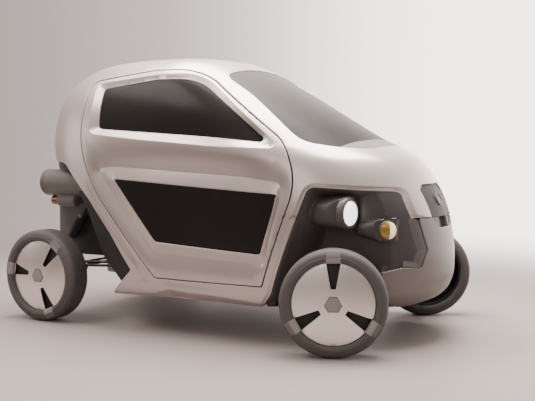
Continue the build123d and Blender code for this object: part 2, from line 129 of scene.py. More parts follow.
def side_y(x, z):
    """Right side of the skin, seen from the side."""
    x, z = np.asarray(x, float), np.asarray(z, float)
    b = half_width(z) + 1e-6
    ahead = x > XM
    a = np.where(ahead, front_end(z) - XM, XM - rear_end(z))
    p = np.where(ahead, FRONT_PQ[0], REAR_PQ[0])
    q = np.where(ahead, FRONT_PQ[1], REAR_PQ[1])
    k = EPS / b
    d = (1 + k ** 2) ** (q / 2) - k ** q
    s = np.minimum(np.abs(x - XM) / a, 1.0)
    return -b * np.sqrt(np.maximum(((1 - s ** p) * d + k ** q) ** (2 / q) - k ** 2, 0))


def end_x(y, z, ahead):
    """Front or rear of the skin, seen from the end."""
    y, z = np.asarray(y, float), np.asarray(z, float)
    b = half_width(z) + 1e-6
    a = (front_end(z) - XM) if ahead else (XM - rear_end(z))
    p, q = FRONT_PQ if ahead else REAR_PQ
    k = EPS / b
    v = (np.sqrt((y / b) ** 2 + k ** 2) ** q - k ** q) / ((1 + k ** 2) ** (q / 2) - k ** q)
    return XM + (1 if ahead else -1) * a * np.maximum(1 - v, 0) ** (1 / p)


def top_z(x, y):
    """Height of the skin, seen from above."""
    x, y = np.asarray(x, float), np.asarray(y, float)
    lo, hi = np.full(np.broadcast(x, y).shape, .9), np.full(np.broadcast(x, y).shape, 1.6169)
    for _ in range(34):
        m = (lo + hi) / 2
        out = field(x, y, m) > 0
        hi = np.where(out, m, hi)
        lo = np.where(out, lo, m)
    return m


# Flat map of the skin: (angle, z) with the angle in metres at unit radius.

def uv_of(P):
    P = np.asarray(P, float)
    return np.stack([np.arctan2(0.0 - P[:, 1], P[:, 0] - XM), P[:, 2]], -1)


def from_side(xz):
    xz = np.asarray(xz, float)
    return np.stack([xz[:, 0], side_y(xz[:, 0], xz[:, 1]), xz[:, 1]], -1)


def from_end(yz, ahead):
    yz = np.asarray(yz, float)
    return np.stack([end_x(yz[:, 0], yz[:, 1], ahead), yz[:, 0], yz[:, 1]], -1)


def from_top(xy):
    xy = np.asarray(xy, float)
    return np.stack([xy[:, 0], xy[:, 1], top_z(xy[:, 0], xy[:, 1])], -1)


# ---------------------------------------------------------------------------
# flat outlines
# ---------------------------------------------------------------------------


def fillet(table, closed=True, step=.012):
    """Points along a line through corners (a, b, radius), given in millimetres."""
    pts = [np.array(c[:2], float) / 1000 for c in table]
    rad = [c[2] / 1000 if len(c) > 2 else 0 for c in table]
    n = len(pts)
    out = []
    for i in range(n):
        p = pts[i]
        if (not closed and i in (0, n - 1)) or rad[i] < 1e-6:
            out.append(p)
            continue
        a, b = pts[i - 1] - p, pts[(i + 1) % n] - p
        la, lb = np.linalg.norm(a), np.linalg.norm(b)
        a, b = a / la, b / lb
        half = math.acos(max(-1, min(1, float(a @ b)))) / 2
        r = rad[i]
        t = min(r / math.tan(half), la * .98, lb * .98)
        r = t * math.tan(half)
        centre = p + (a + b) / np.linalg.norm(a + b) * (r / math.sin(half))
        s, e = p + a * t, p + b * t
        a0, a1 = math.atan2(*(s - centre)[::-1]), math.atan2(*(e - centre)[::-1])
        d = (a1 - a0 + math.pi) % (2 * math.pi) - math.pi
        k = max(2, int(abs(d) * r / step) + 1, int(abs(d) / .35) + 1)
        out += [centre + r * np.array([math.cos(a0 + d * j / k), math.sin(a0 + d * j / k)]) for j in range(k + 1)]
    return resample(np.array(out), step, closed)


def resample(P, step, closed=True):
    """Adds points on the long runs, keeps the given ones."""
    out = []
    n = len(P)
    for i in range(n if closed else n - 1):
        a, b = P[i], P[(i + 1) % n]
        l = np.linalg.norm(b - a)
        if l < 1e-7:
            continue
        k = max(1, int(math.ceil(l / step)))
        out += [a + (b - a) * j / k for j in range(k)]
    if not closed:
        out.append(P[-1])
    return np.array(out)


def smooth_line(P, step=.012, closed=False):
    """Catmull-Rom line through the points."""
    P = np.asarray(P, float)
    n = len(P)
    out = []
    for i in range(n if closed else n - 1):
        p0, p1 = (P[(i - 1) % n], P[i]) if closed or i else (2 * P[0] - P[1], P[0])
        p2 = P[(i + 1) % n]
        p3 = P[(i + 2) % n] if closed or i + 2 < n else 2 * P[-1] - P[-2]
        k = max(1, int(np.linalg.norm(p2 - p1) / step + .5))
        for j in range(k):
            t = j / k
            out.append(.5 * ((2 * p1) + (p2 - p0) * t + (2 * p0 - 5 * p1 + 4 * p2 - p3) * t * t
                             + (3 * p1 - p0 - 3 * p2 + p3) * t ** 3))
    if not closed:
        out.append(P[-1])
    return np.array(out)


def grow(P, amount):
    """Moves a closed line outwards."""
    P = np.asarray(P, float)
    area = np.sum(P[:, 0] * np.roll(P[:, 1], -1) - np.roll(P[:, 0], -1) * P[:, 1])
    t = np.roll(P, -1, 0) - np.roll(P, 1, 0)
    t /= np.linalg.norm(t, axis=1, keepdims=True) + 1e-12
    n = np.stack([t[:, 1], -t[:, 0]], -1) * (1 if area > 0 else -1)
    return P + n * amount


def inside(points, poly):
    """Even-odd test of points against a closed line."""
    x, y = points[:, 0][:, None], points[:, 1][:, None]
    a, b = poly, np.roll(poly, -1, 0)
    ax, ay, bx, by = a[:, 0], a[:, 1], b[:, 0], b[:, 1]
    crosses = (ay > y) != (by > y)
    at = (bx - ax) * (y - ay) / np.where(np.abs(by - ay) < 1e-12, 1e-12, by - ay) + ax
    return (np.sum(crosses & (x < at), axis=1) % 2) == 1


def distance(points, line, closed=True):
    a = line if closed else line[:-1]
    b = np.roll(line, -1, 0) if closed else line[1:]
    out = np.empty(len(points))
    d = b - a
    dd = np.sum(d * d, 1) + 1e-18
    for i in range(0, len(points), 4000):
        p = points[i:i + 4000, None, :] - a[None]
        t = np.clip(np.sum(p * d[None], -1) / dd, 0, 1)
        out[i:i + 4000] = np.sqrt(np.min(np.sum((p - t[..., None] * d[None]) ** 2, -1), 1))
    return out


def smoothstep(a, b, x):
    t = np.clip((x - a) / (b - a), 0, 1)
    return t * t * (3 - 2 * t)


# ---------------------------------------------------------------------------
# meshes
# ---------------------------------------------------------------------------


def new_object(name, mesh):
    obj = bpy.data.objects.new(name, mesh)
    bpy.context.scene.collection.objects.link(obj)
    return obj


def set_up(obj, material, body="root", nodes=(), mirrored=None):
    if material is not None:
        obj.data.materials.clear()
        obj.data.materials.append(material)
    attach(obj, body)
    if nodes:
        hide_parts(*nodes)
    return obj


def make(name, verts, faces, corner_normals=None, sharp=None, material_index=None):
    verts = np.asarray(verts, float).copy()
    verts[:, 0] += DX
    mesh = bpy.data.meshes.new(name)
    mesh.from_pydata(verts.tolist(), [], [list(map(int, f)) for f in faces])
    mesh.polygons.foreach_set("use_smooth", [True] * len(mesh.polygons))
    if material_index is not None:
        mesh.polygons.foreach_set("material_index", material_index)
    if corner_normals is not None:
        mesh.normals_split_custom_set(np.asarray(corner_normals, float).tolist())
    elif sharp is not None:
        mesh.set_sharp_from_angle(angle=math.radians(sharp))
    mesh.update()
    return new_object(name, mesh)


class Panel:
    """A shell cut from a mapped surface, with rounded edges.

    keep(uv) says which of the flat map's triangles belong to it, lines are the
    edges and creases that its triangles follow, at(uv) gives its points."""

    def __init__(self, at, lines, keep, box, step, rows=(), radius=.003, depth=.012, scale=(1, 1), flush=None, centre=None,
                 row_gap=.0025, inner=True, arc=3, guard=.45, out=None):
        (u0, v0), (u1, v1) = box
        pts, edges = [], []

        def add_line(line, closed):
            base = len(pts)
            pts.extend(map(tuple, line))
            m = len(line)
            edges.extend((base + i, base + (i + 1) % m) for i in range(m if closed else m - 1))

        for line, closed in lines:
            add_line(line, closed)
        for line, closed in rows:
            add_line(line, closed)
            t = np.roll(line, -1, 0) - np.roll(line, 1, 0)
            if not closed:
                t[0], t[-1] = line[1] - line[0], line[-1] - line[-2]
            n = np.stack([-t[:, 1], t[:, 0]], -1)
            n /= np.linalg.norm(n, axis=1, keepdims=True) + 1e-12
            for side in (-1, 1):
                off = line + n * row_gap * side
                pts.extend(map(tuple, off))
        su, sv = step / scale[0], step / scale[1]
        gu, gv = np.meshgrid(np.arange(u0 + su / 2, u1, su), np.arange(v0 + sv / 2, v1, sv * .87))
        gu[::2] += su / 2
        grid = np.stack([gu.ravel(), gv.ravel()], -1)
        near = np.full(len(grid), 1e9)
        w = np.array(scale, float)
        for line, closed in list(lines) + list(rows):
            near = np.minimum(near, distance(grid * w, line * w, closed))
        grid = grid[(near > step * guard) & keep(grid)]
        pts.extend(map(tuple, grid))
        res = delaunay_2d_cdt([Vector(p) for p in pts], edges, [], 0, 1e-7)
        uv = np.array([tuple(v) for v in res[0]])
        tri = np.array([f for f in res[2]])
        mid = uv[tri].mean(1)
        tri = tri[keep(mid)]
        used = np.unique(tri)
        remap = -np.ones(len(uv), int)
        remap[used] = np.arange(len(used))
        uv, tri = uv[used], remap[tri]
        P = at(uv)
        e = 4e-4
        du = at(uv + [e / scale[0], 0]) - at(uv - [e / scale[0], 0])
        dv = at(uv + [0, e / scale[1]]) - at(uv - [0, e / scale[1]])
        N = np.cross(du, dv)
        N /= np.linalg.norm(N, axis=1, keepdims=True) + 1e-15
        # triangles run anticlockwise in the flat map
        a = uv[tri]
        turn = ((a[:, 1, 0] - a[:, 0, 0]) * (a[:, 2, 1] - a[:, 0, 1]) - (a[:, 2, 0] - a[:, 0, 0]) * (a[:, 1, 1] - a[:, 0, 1]))
        tri[turn < 0] = tri[turn < 0][:, ::-1]
        toward = (P - [-.1, 0, .8]) if out is None else np.array(out, float)[None]
        if np.mean(np.sum(N * toward, 1) > 0) < .5:
            N, tri = -N, tri[:, ::-1].copy()
        # directed border edges
        count = {}
        for t3 in tri:
            for i in range(3):
                count[(t3[i], t3[(i + 1) % 3])] = 1
        border = [e2 for e2 in count if (e2[1], e2[0]) not in count]
        if centre is not None:
            onc = centre(P)
            border = [e2 for e2 in border if not (onc[e2[0]] and onc[e2[1]])]
        nxt = {}
        prv = {}
        for s, t in border:
            nxt.setdefault(s, []).append(t)
            prv.setdefault(t, []).append(s)
        ring = sorted(set(nxt) | set(prv))
        R = np.full(len(P), radius)
        if flush is not None:
            R[flush(P, uv)] = 0
        ring_at = {}
        V = [tuple(p) for p in P]
        base_n = [tuple(n) for n in N]
        faces, normals = [], []
        side_n = {}
        for i in ring:
            tan = np.zeros(3)
            for j in nxt.get(i, []):
                d = P[j] - P[i]
                tan += d / (np.linalg.norm(d) + 1e-12)
            for j in prv.get(i, []):
                d = P[i] - P[j]
                tan += d / (np.linalg.norm(d) + 1e-12)
            tan /= np.linalg.norm(tan) + 1e-12
            inw = np.cross(N[i], tan)
            if centre is not None and onc[i]:
                inw[1] = 0
            inw /= np.linalg.norm(inw) + 1e-12
            r = R[i]
            ids = []
            for k in range(1, arc + 1):
                ang = math.pi / 2 * k / arc
                ids.append((len(V), N[i] * math.cos(ang) - inw * math.sin(ang)))
                V.append(tuple(P[i] + inw * r * (1 - math.sin(ang)) - N[i] * r * (1 - math.cos(ang))))
            ids.append((len(V), -inw))
            V.append(tuple(P[i] - N[i] * depth))
            ring_at[i] = [(i, N[i])] + ids
            V[i] = tuple(P[i] + inw * r)
            side_n[i] = inw
        for t3 in tri:
            faces.append(tuple(t3))
            normals += [N[t3[0]], N[t3[1]], N[t3[2]]]
        for s, t in border:
            A, B = ring_at[s], ring_at[t]
            for k in range(len(A) - 1):
                faces.append((B[k][0], A[k][0], A[k + 1][0], B[k + 1][0]))
                normals += [B[k][1], A[k][1], A[k + 1][1], B[k + 1][1]]
        if inner:
            base = {}
            for i in range(len(P)):
                if i in ring_at:
                    base[i] = ring_at[i][-1][0]
                else:
                    base[i] = len(V)
                    V.append(tuple(P[i] - N[i] * depth))
            for t3 in tri:
                faces.append((base[t3[2]], base[t3[1]], base[t3[0]]))
                normals += [-N[t3[2]], -N[t3[1]], -N[t3[0]]]
        self.V = np.array(V)
        self.faces = faces
        self.normals = np.array(normals)
        if centre is not None:
            self.on_centre = np.abs(self.V[:, 1]) < 1e-5
            self.V[self.on_centre, 1] = 0

    def mirrored(self):
        other = Panel.__new__(Panel)
        other.V = self.V * [1, -1, 1]
        other.faces = [tuple(reversed(f)) for f in self.faces]
        out, k = [], 0
        for f in self.faces:
            n = len(f)
            out.append(self.normals[k:k + n][::-1] * [1, -1, 1])
            k += n
        other.normals = np.concatenate(out)
        return other

    def doubled(self):
        """Joined with its own mirror image along the middle line."""
        m = self.mirrored()
        n = len(self.V)
        index = np.arange(n) + n
        mid = np.nonzero(np.abs(self.V[:, 1]) < 1e-5)[0]
        index[mid] = mid
        both = Panel.__new__(Panel)
        both.V = np.concatenate([self.V, m.V])
        both.faces = list(self.faces) + [tuple(index[list(f)]) for f in m.faces]
        both.normals = np.concatenate([self.normals, m.normals])
        # corner normals on the middle line lie in the middle plane
        flat = np.array([v for f in both.faces for v in f])
        on = np.abs(both.V[flat, 1]) < 1e-5
        both.normals[on, 1] = 0
        both.normals /= np.linalg.norm(both.normals, axis=1, keepdims=True) + 1e-12
        return both

    def build(self, name):
        return make(name, self.V, self.faces, self.normals)

# ---------------------------------------------------------------------------
# materials
# ---------------------------------------------------------------------------


class Nodes:
    """Short way to write a node material."""

    def __init__(self, name):
        self.mat = bpy.data.materials.new(name)
        self.mat.use_nodes = True
        self.tree = self.mat.node_tree
        self.tree.nodes.clear()
        self.out = self.tree.nodes.new("ShaderNodeOutputMaterial")

    def node(self, kind, **values):
        n = self.tree.nodes.new(kind)
        for k, v in values.items():
            if k.startswith("_"):
                setattr(n, k[1:], v)
                continue
            key = k.replace("__", " ")
            socket = n.inputs[int(key[1:])] if key[0] == "i" and key[1:].isdigit() else n.inputs[key]
            if isinstance(v, bpy.types.NodeSocket):
                self.tree.links.new(v, socket)
            else:
                socket.default_value = v
        return n

    def link(self, a, b):
        self.tree.links.new(a, b)

    def coords(self):
        return self.node("ShaderNodeTexCoord").outputs["Object"]

    def noise(self, scale, detail=3.0, rough=.5, vector=None):
        return self.node("ShaderNodeTexNoise", Vector=vector or self.coords(), Scale=scale, Detail=detail, Roughness=rough).outputs["Fac"]

    def ramp(self, fac, a, b, lo=0.0, hi=1.0):
        n = self.node("ShaderNodeValToRGB", Fac=fac)
        n.color_ramp.elements[0].position, n.color_ramp.elements[1].position = lo, hi
        n.color_ramp.elements[0].color, n.color_ramp.elements[1].color = (*a, 1), (*b, 1)
        return n.outputs["Color"]

    def span(self, fac, lo, hi, a=0.0, b=1.0):
        return self.node("ShaderNodeMapRange", i0=fac, i1=a, i2=b, i3=lo, i4=hi).outputs[0]

    def bump(self, height, strength, dist, normal=None):
        kw = dict(Height=height, Strength=strength, Distance=dist)
        if normal is not None:
            kw["Normal"] = normal
        return self.node("ShaderNodeBump", **kw).outputs["Normal"]

    def principled(self, **kw):
        n = self.node("ShaderNodeBsdfPrincipled", **kw)
        self.link(n.outputs["BSDF"], self.out.inputs["Surface"])
        return n


def tint(c, f):
    return tuple(x * f for x in c)


def paint(name, colour, rough=.34, metallic=.35, coat=.25):
    m = Nodes(name)
    cloud = m.noise(2.2, 2.0)
    flake = m.noise(900.0, 1.0)
    base = m.ramp(cloud, tint(colour, .975), tint(colour, 1.02), .3, .7)
    fleck = m.ramp(flake, (.94, .94, .94), (1.0, 1.0, 1.0), .35, .65)
    mix = m.node("ShaderNodeMix", _data_type="RGBA", _blend_type="MULTIPLY", i0=1.0, i6=base, i7=fleck)
    r = m.span(m.noise(5.0, 4.0), rough - .02, rough + .03, .3, .7)
    peel = m.bump(m.noise(260.0, 2.0), .03, .0004)
    m.principled(Base__Color=mix.outputs[2], Metallic=metallic, Roughness=r, Normal=peel, Coat__Weight=coat, Coat__Roughness=.12)
    return m.mat


def plastic(name, colour, rough=.5, grain=.12, scale=700.0, spread=.12):
    m = Nodes(name)
    cloud = m.noise(4.0, 3.0)
    base = m.ramp(cloud, tint(colour, 1 - spread), tint(colour, 1 + spread), .3, .7)
    r = m.span(m.noise(9.0, 3.0), rough - .04, rough + .05, .3, .7)
    n = m.bump(m.noise(scale, 2.0), grain, .0006)
    m.principled(Base__Color=base, Roughness=r, Normal=n, Specular__IOR__Level=.42)
    return m.mat


def metal(name, colour, rough=.32, brushed=40.0):
    m = Nodes(name)
    vec = m.node("ShaderNodeMapping", Vector=m.coords())
    vec.inputs["Scale"].default_value = (brushed, brushed, brushed * 12)
    streak = m.noise(6.0, 3.0, vector=vec.outputs[0])
    base = m.ramp(streak, tint(colour, .93), tint(colour, 1.05), .3, .7)
    r = m.span(streak, rough - .05, rough + .06, .3, .7)
    m.principled(Base__Color=base, Metallic=1.0, Roughness=r, Normal=m.bump(streak, .04, .0005))
    return m.mat


def glass(name, colour, see=.12, rough=.06, top=None, coat=.6, gloss=.45):
    """Dark tinted pane: a glossy sheet that lets a small share of light through, with an optional painted reflection
    that lightens it towards its top.
    """
    m = Nodes(name)
    cloud = m.noise(1.6, 2.0)
    base = m.ramp(cloud, tint(colour, .9), tint(colour, 1.1), .3, .7)
    # painted reflection: given top, the pane lightens with height from top[0] to top[1] towards the colour top[2],
    # standing in for the bright surroundings it reflects
    if top is not None:
        z = m.node("ShaderNodeSeparateXYZ", Vector=m.coords()).outputs["Z"]
        g = m.span(z, 0, 1, top[0], top[1])
        base = m.node("ShaderNodeMix", _data_type="RGBA", i0=g, i6=base, i7=(*top[2], 1)).outputs[2]
    r = m.span(m.noise(14.0, 3.0), rough, rough + .03, .3, .7)
    body = m.node("ShaderNodeBsdfPrincipled", Base__Color=base, Roughness=r, Coat__Weight=coat, Coat__Roughness=.04,
                  Specular__IOR__Level=gloss)
    clear = m.node("ShaderNodeBsdfTransparent", Color=(.62, .57, .54, 1))
    mix = m.node("ShaderNodeMixShader", i0=see, i1=body.outputs[0], i2=clear.outputs[0])
    m.link(mix.outputs[0], m.out.inputs["Surface"])
    return m.mat


def lens(name, colour, glow, strength, rough=.12):
    m = Nodes(name)
    ribs = m.node("ShaderNodeTexWave", Vector=m.coords(), Scale=42.0, Distortion=.4).outputs["Fac"]
    base = m.ramp(ribs, tint(colour, .85), colour, .2, .8)
    m.principled(Base__Color=base, Roughness=rough, Emission__Color=(*glow, 1), Emission__Strength=strength,
                 Coat__Weight=.8, Normal=m.bump(ribs, .2, .0008))
    return m.mat


M_PAINT = paint("pearl_silver_paint", (.53, .467, .438), rough=.32, metallic=.62, coat=.22)
# bumper: the body paint's hue at about a third of its brightness, a slightly greyer satin finish darkened much further
# as painted shade on this sideways- and downward-facing band
M_BUMPER_WITH_PAINTED_SHADE = paint("satin_bumper_with_painted_shade", (.19, .165, .155), rough=.42, metallic=.15, coat=.05)
M_TRIM = paint("pale_grey_trim", (.150, .133, .125), rough=.55, metallic=.1, coat=.0)
M_DARK = plastic("dark_moulded_plastic", (.050, .045, .043), rough=.46)
M_BLACK = plastic("black_soft_plastic", (.012, .0115, .011), rough=.5)
M_POD = plastic("grey_pod_plastic", (.13, .118, .112), rough=.42)
M_CABIN = plastic("cabin_plastic", (.075, .068, .065), rough=.6)
M_STEEL = metal("satin_black_steel", (.10, .098, .095), rough=.42)
M_ALLOY = metal("cast_alloy", (.50, .49, .48), rough=.38)
M_SIDE_GLASS = glass("dark_side_glass", (.022, .0192, .0180), see=.16, rough=.22, coat=.0, gloss=.07)
# painted reflection: the windscreen's colour lightens towards its top
M_SCREEN_PAINTED_REFLECTION = glass("tinted_screen_glass_painted_reflection", (.020, .0174, .0162), see=.05, rough=.38, top=(1.06, 1.52, (.082, .072, .0675)), coat=.0, gloss=.06)
M_RUBBER_TRIM = plastic("black_rubber_seal", (.010, .0095, .009), rough=.7)

# ---------------------------------------------------------------------------
# outlines, corners with their radii in millimetres (as in the CAD)
# ---------------------------------------------------------------------------

DOOR = [(-142, 323, 30), (555, 323, 15), (793, 1000, 320), (70, 1515, 500), (-230, 1519, 400), (-690, 1462, 70), (-690, 963, 770)]
UPPER_GLASS = [(-560, 1184, 24), (572, 1113, 15), (76, 1470, 390), (-200, 1472, 400), (-578, 1423, 20)]
LOWER_GLASS = [(-125, 532, 45), (553, 498, 14), (657, 824, 18), (-417, 886, 8)]
ARCH = [(548, 190, 0), (548, 215, 0), (600, 280, 60), (762, 724, 0), (812, 868, 45), (1205, 842, 45), (1266, 697, 0), (1289, 690, 0),
        (1330, 525, 12), (1312, 428, 12), (1250, 484, 0), (1160, 418, 0), (1160, 190, 0)]
REAR_CUT = [(-1011, 985, 0), (-840, 972, 90), (-613, 760, 0), (-451, 568, 0), (-312, 358, 12), (-405, 271, 0), (-461, 218, 0), (-461, 190, 0)]
# sculpted parts of the door, seen from the side
UPPER_FRAME = [(-624, 1151, 50), (-210, 1113, 400), (250, 1080, 300), (652, 1064, 20), (86, 1492, 400), (-195, 1496, 400), (-627, 1450, 28)]
LOWER_FRAME = [(-150, 468, 70), (558, 442, 20), (673, 886, 32), (430, 917, 300), (-420, 958, 200), (-556, 946, 18)]

door_line = fillet(DOOR)
upper_glass_line = fillet(UPPER_GLASS)
lower_glass_line = fillet(LOWER_GLASS)
upper_frame_line = fillet(UPPER_FRAME)
lower_frame_line = fillet(LOWER_FRAME)
DOOR_GAP = .003


def sill_deep(z):
    """How far the upper glass lies in, more along its lower edge."""
    return .017 + .011 * smoothstep(1.30, 1.13, z)


def door_relief(x, z):
    """How far the door's outside stands off the master surface, seen from the side."""
    p = np.stack([x, z], -1)
    out = np.zeros(len(p))
    in_uf, in_ug = inside(p, upper_frame_line), inside(p, upper_glass_line)
    in_lf, in_lg = inside(p, lower_frame_line), inside(p, lower_glass_line)
    d_uf, d_ug = distance(p, upper_frame_line), distance(p, upper_glass_line)
    d_lf, d_lg = distance(p, lower_frame_line), distance(p, lower_glass_line)
    d_door = distance(p, door_line)
    crease = np.interp(z, [.44, .60, .88, .96], [-.024, -.026, -.028, -.032])
    crease = crease * np.interp(x, [-.50, -.15, .45, .66], [.75, 1, .9, .56])
    # between the lower frame's crease and the door's edge or the upper frame
    d_free = np.minimum(np.where(in_uf, 0, d_uf), d_door)
    w = d_free / (d_free + d_lf + 1e-9)
    w = w * w * (1.6 - .6 * w)
    out = crease * w
    # upper window's frame slopes in to the glass
    t = d_uf / (d_uf + d_ug + 1e-9)
    out = np.where(in_uf & ~in_ug, -sill_deep(z) * t, out)
    out = np.where(in_ug, -sill_deep(z), out)
    # lower window's frame slopes out to the glass
    t = d_lf / (d_lf + d_lg + 1e-9)
    edge = -.004
    out = np.where(in_lf & ~in_lg, crease * (1 - t) + edge * t, out)
    out = np.where(in_lg, edge, out)
    return out


def side_map(relief):
    """(x, z) of the side view to the skin with its relief."""
    def at(uv):
        P = from_side(uv)
        N = gradient(P)
        return P + N * relief(uv[:, 0], uv[:, 1])[:, None]
    return at


def door_flat(x, z):
    return door_relief(x, z)


STEP = .014

door_edge = grow(door_line, -DOOR_GAP)
uv_box = (door_edge.min(0), door_edge.max(0))


def pane(outline, depth, name, body, nodes, slot, material, step=.03, thick=.005):
    def keep(uv):
        return inside(uv, outline)

    p = Panel(side_map(lambda x, z: np.full(len(x), depth)), [(outline, True)], keep, (outline.min(0), outline.max(0)), step,
              radius=.001, depth=thick, arc=1)
    return p


door_panel = Panel(side_map(door_flat),
                   [(door_edge, True), (upper_glass_line, True), (lower_glass_line, True)],
                   lambda uv: inside(uv, door_edge) & ~inside(uv, upper_glass_line) & ~inside(uv, lower_glass_line),
                   uv_box, STEP, rows=[(upper_frame_line, True), (lower_frame_line, True)], radius=.0035, depth=.030)
for side, panel_ in (("right", door_panel), ("left", door_panel.mirrored())):
    set_up(panel_.build("door_skin_" + side), M_PAINT, "door_" + side, ["door_" + side])

# ---------------------------------------------------------------------------
# the rest of the body, in the flat map (angle, z)
# ---------------------------------------------------------------------------

SCREEN = [(1.030, 0), (1.027, -.10), (1.015, -.20), (.985, -.29), (.935, -.362), (.872, -.428), (.784, -.487), (.720, -.508), (.655, -.505), (.537, -.477),
          (.373, -.433), (.24, -.416), (.200, -.402), (.178, -.37), (.171, -.30), (.171, -.15), (.171, 0)]
ROOF = [(.171, -.335), (.106, -.345), (.055, -.395), (-.037, -.455), (-.162, -.483), (-.301, -.492), (-.502, -.500), (-.70, -.478), (-.86, -.430), (-.97, -.365)]


def skin_map(relief=None):
    def at(uv):
        P = skin(uv[:, 0], uv[:, 1])
        if relief is None:
            return P
        return P + gradient(P) * relief(P)[:, None]
    return at


def flat(P3):
    return uv_of(P3)


door_hole_side = grow(door_line, DOOR_GAP)
door_hole = flat(from_side(door_hole_side))
arch_side = fillet(ARCH, closed=False)
arch_edge = flat(from_side(arch_side))
arch_region = arch_edge
cut_side = fillet(REAR_CUT, closed=False)
cut_edge = flat(from_side(cut_side))
LOW = .204
cut_region = np.concatenate([cut_edge, [[math.pi + .1, .19], [math.pi + .1, .985]]])
screen_3d = from_top(smooth_line(SCREEN))
screen_edge = flat(screen_3d)
screen_region = np.concatenate([screen_edge, [[-.1, screen_edge[-1, 1]], [-.1, screen_edge[0, 1]]]])
screen_region[0, 0] = screen_region[0, 0]
tail_edge = fillet([(math.pi * 1000, 1004, 0), (2568, 1004, 45), (2554, 1230, 900), (2570, 1474, 60), (math.pi * 1000, 1474, 0)], closed=False)


def close_behind(line):
    return np.concatenate([line, [[math.pi + .1, line[-1, 1]], [math.pi + .1, line[0, 1]]]])


def close_ahead(line):
    return np.concatenate([line, [[-.1, line[-1, 1]], [-.1, line[0, 1]]]])


tail_hole_edge = fillet([(math.pi * 1000, 1000, 0), (2563, 1000, 45), (2549, 1230, 900), (2565, 1480, 60), (math.pi * 1000, 1480, 0)], closed=False)
tail_hole = close_behind(tail_hole_edge)
tail_region = close_behind(tail_edge)
roof_line_xy = smooth_line(ROOF)
roof_edge = flat(from_top(roof_line_xy))
SEAM = .0022
MIDDLE_FRONT = np.stack([np.zeros(140), np.linspace(.19, 1.58, 140)], -1)
MIDDLE_REAR = MIDDLE_FRONT + [math.pi, 0]
clip_low = np.array([[.64, .727], [.762, .727]])
clip_line = flat(from_side(resample(clip_low, .012, False)))
CLIP_TOP = np.array([[.705, 1.000], [.82, 1.094]])
clip_top = flat(from_side(resample(CLIP_TOP, .012, False)))
clip_region = np.concatenate([clip_line, [[-.1, .727], [-.1, 1.30], [clip_top[-1, 0], 1.30]], clip_top[::-1], [[clip_line[0, 0], 1.0]]])
bumper_top = .6935
SEAM_TOP = .697
arch_poly = np.concatenate([arch_edge, [[arch_edge[-1, 0], .1], [arch_edge[0, 0], .1]]])


def lip(P):
    """Rolled edge round the front arch: the skin turns in towards the opening."""
    uv = flat(P)
    d = distance(P[:, [0, 2]], arch_side, False)
    t = np.clip(1 - d / .020, 0, 1)
    roll = -.0095 * t
    # sill: a blade below the door
    z, x = P[:, 2], P[:, 0]
    ridge = np.interp(x, [-.45, -.176, .097, .347, .56], [.345, .325, .309, .306, .311])
    blade = np.interp(x, [-.46, -.141, -.05, .337, .556, .60], [.222, .238, .268, .251, .232, .214])
    up = smoothstep(0, 1, (ridge - z) / (ridge - blade + 1e-6))
    under = np.clip((blade - z) / .05, 0, 1)
    on_sill = smoothstep(.60, .54, x) * (x > -.6)
    sill = np.where(z < ridge, np.where(z > blade, .010 * up, .010 - .022 * under), 0) * on_sill
    # channel between the rear cut and the door
    p = P[:, [0, 2]]
    back = (x < -.1) & (z < .90) & (z > .26)
    w = np.where(back, distance(p, door_hole_side, True), 1.0)
    w = w / (w + np.where(back, distance(p, cut_side, False), 1.0) + 1e-9)
    fade = smoothstep(.88, .70, z) * smoothstep(.27, .36, z)
    channel = np.where(back, -.0085 * np.exp(-((w - .34) / .19) ** 2) * fade, 0)
    return roll + sill + channel


def mid_plane(P):
    return np.abs(P[:, 1]) < 1e-6


lip_line = flat(from_side(grow(arch_side, .020)[3:-3]))
sill_ridge = flat(from_side(smooth_line([(-.40, .340), (-.176, .325), (.097, .309), (.347, .306), (.545, .310)])))
sill_blade = flat(from_side(smooth_line([(-.455, .223), (-.141, .238), (-.05, .268), (.337, .251), (.556, .232), (.585, .222)])))


def keep_frame(uv):
    return ((uv[:, 1] > LOW) & ~inside(uv, door_hole) & ~inside(uv, arch_poly) & ~inside(uv, cut_region) & ~inside(uv, screen_region)
            & ~inside(uv, tail_hole) & ~inside(uv, roof_region) & ~inside(uv, clip_region) & (uv[:, 0] > .36))


roof_top = np.array([[math.pi + .1, 1.7], [-.1, 1.7], [-.1, 1.56], [roof_edge[0, 0], 1.56]])
roof_region = np.concatenate([roof_edge, [[math.pi + .1, roof_edge[-1, 1]]], roof_top])
low_line = np.array([[.6, LOW], [math.pi, LOW]])
low_line = resample(low_line, .012, False)
back_low = resample(np.array([[cut_edge[0, 0], .985], [math.pi, .985]]), .02, False)


def not_seam(P, uv):
    """Border points on the joints that carry on smoothly."""
    on_top = distance(uv, clip_top, False) < .0015
    on_roof = distance(uv, roof_edge, False) < -1
    return on_top | on_roof


frame_panel = Panel(skin_map(lip),
                    [(door_hole, True), (arch_edge, False), (cut_edge, False), (screen_edge, False),
                     (tail_hole_edge, False), (roof_edge, False), (clip_line, False), (clip_top, False), (low_line, False)],
                    keep_frame, ((.36, LOW), (math.pi - .35, 1.56)), STEP, rows=[(sill_ridge, False), (sill_blade, False), (lip_line, False)],
                    radius=.0035, depth=.026, flush=not_seam)
for side, p in (("right", frame_panel), ("left", frame_panel.mirrored())):
    set_up(p.build("side_frame_skin_" + side), M_PAINT, "body", ["side_frame_" + side])

# roof, seen from above
roof_outline = np.concatenate([roof_line_xy, [[-.992, -.30], [-.999, -.15], [-1.0, 0], [.171, 0]]])


def roof_at(uv):
    P = from_top(uv)
    d = distance(uv, np.concatenate([roof_line_xy, roof_line_xy[::-1] * [1, -1]]), True)
    P[:, 2] += 0.0 * d
    return P


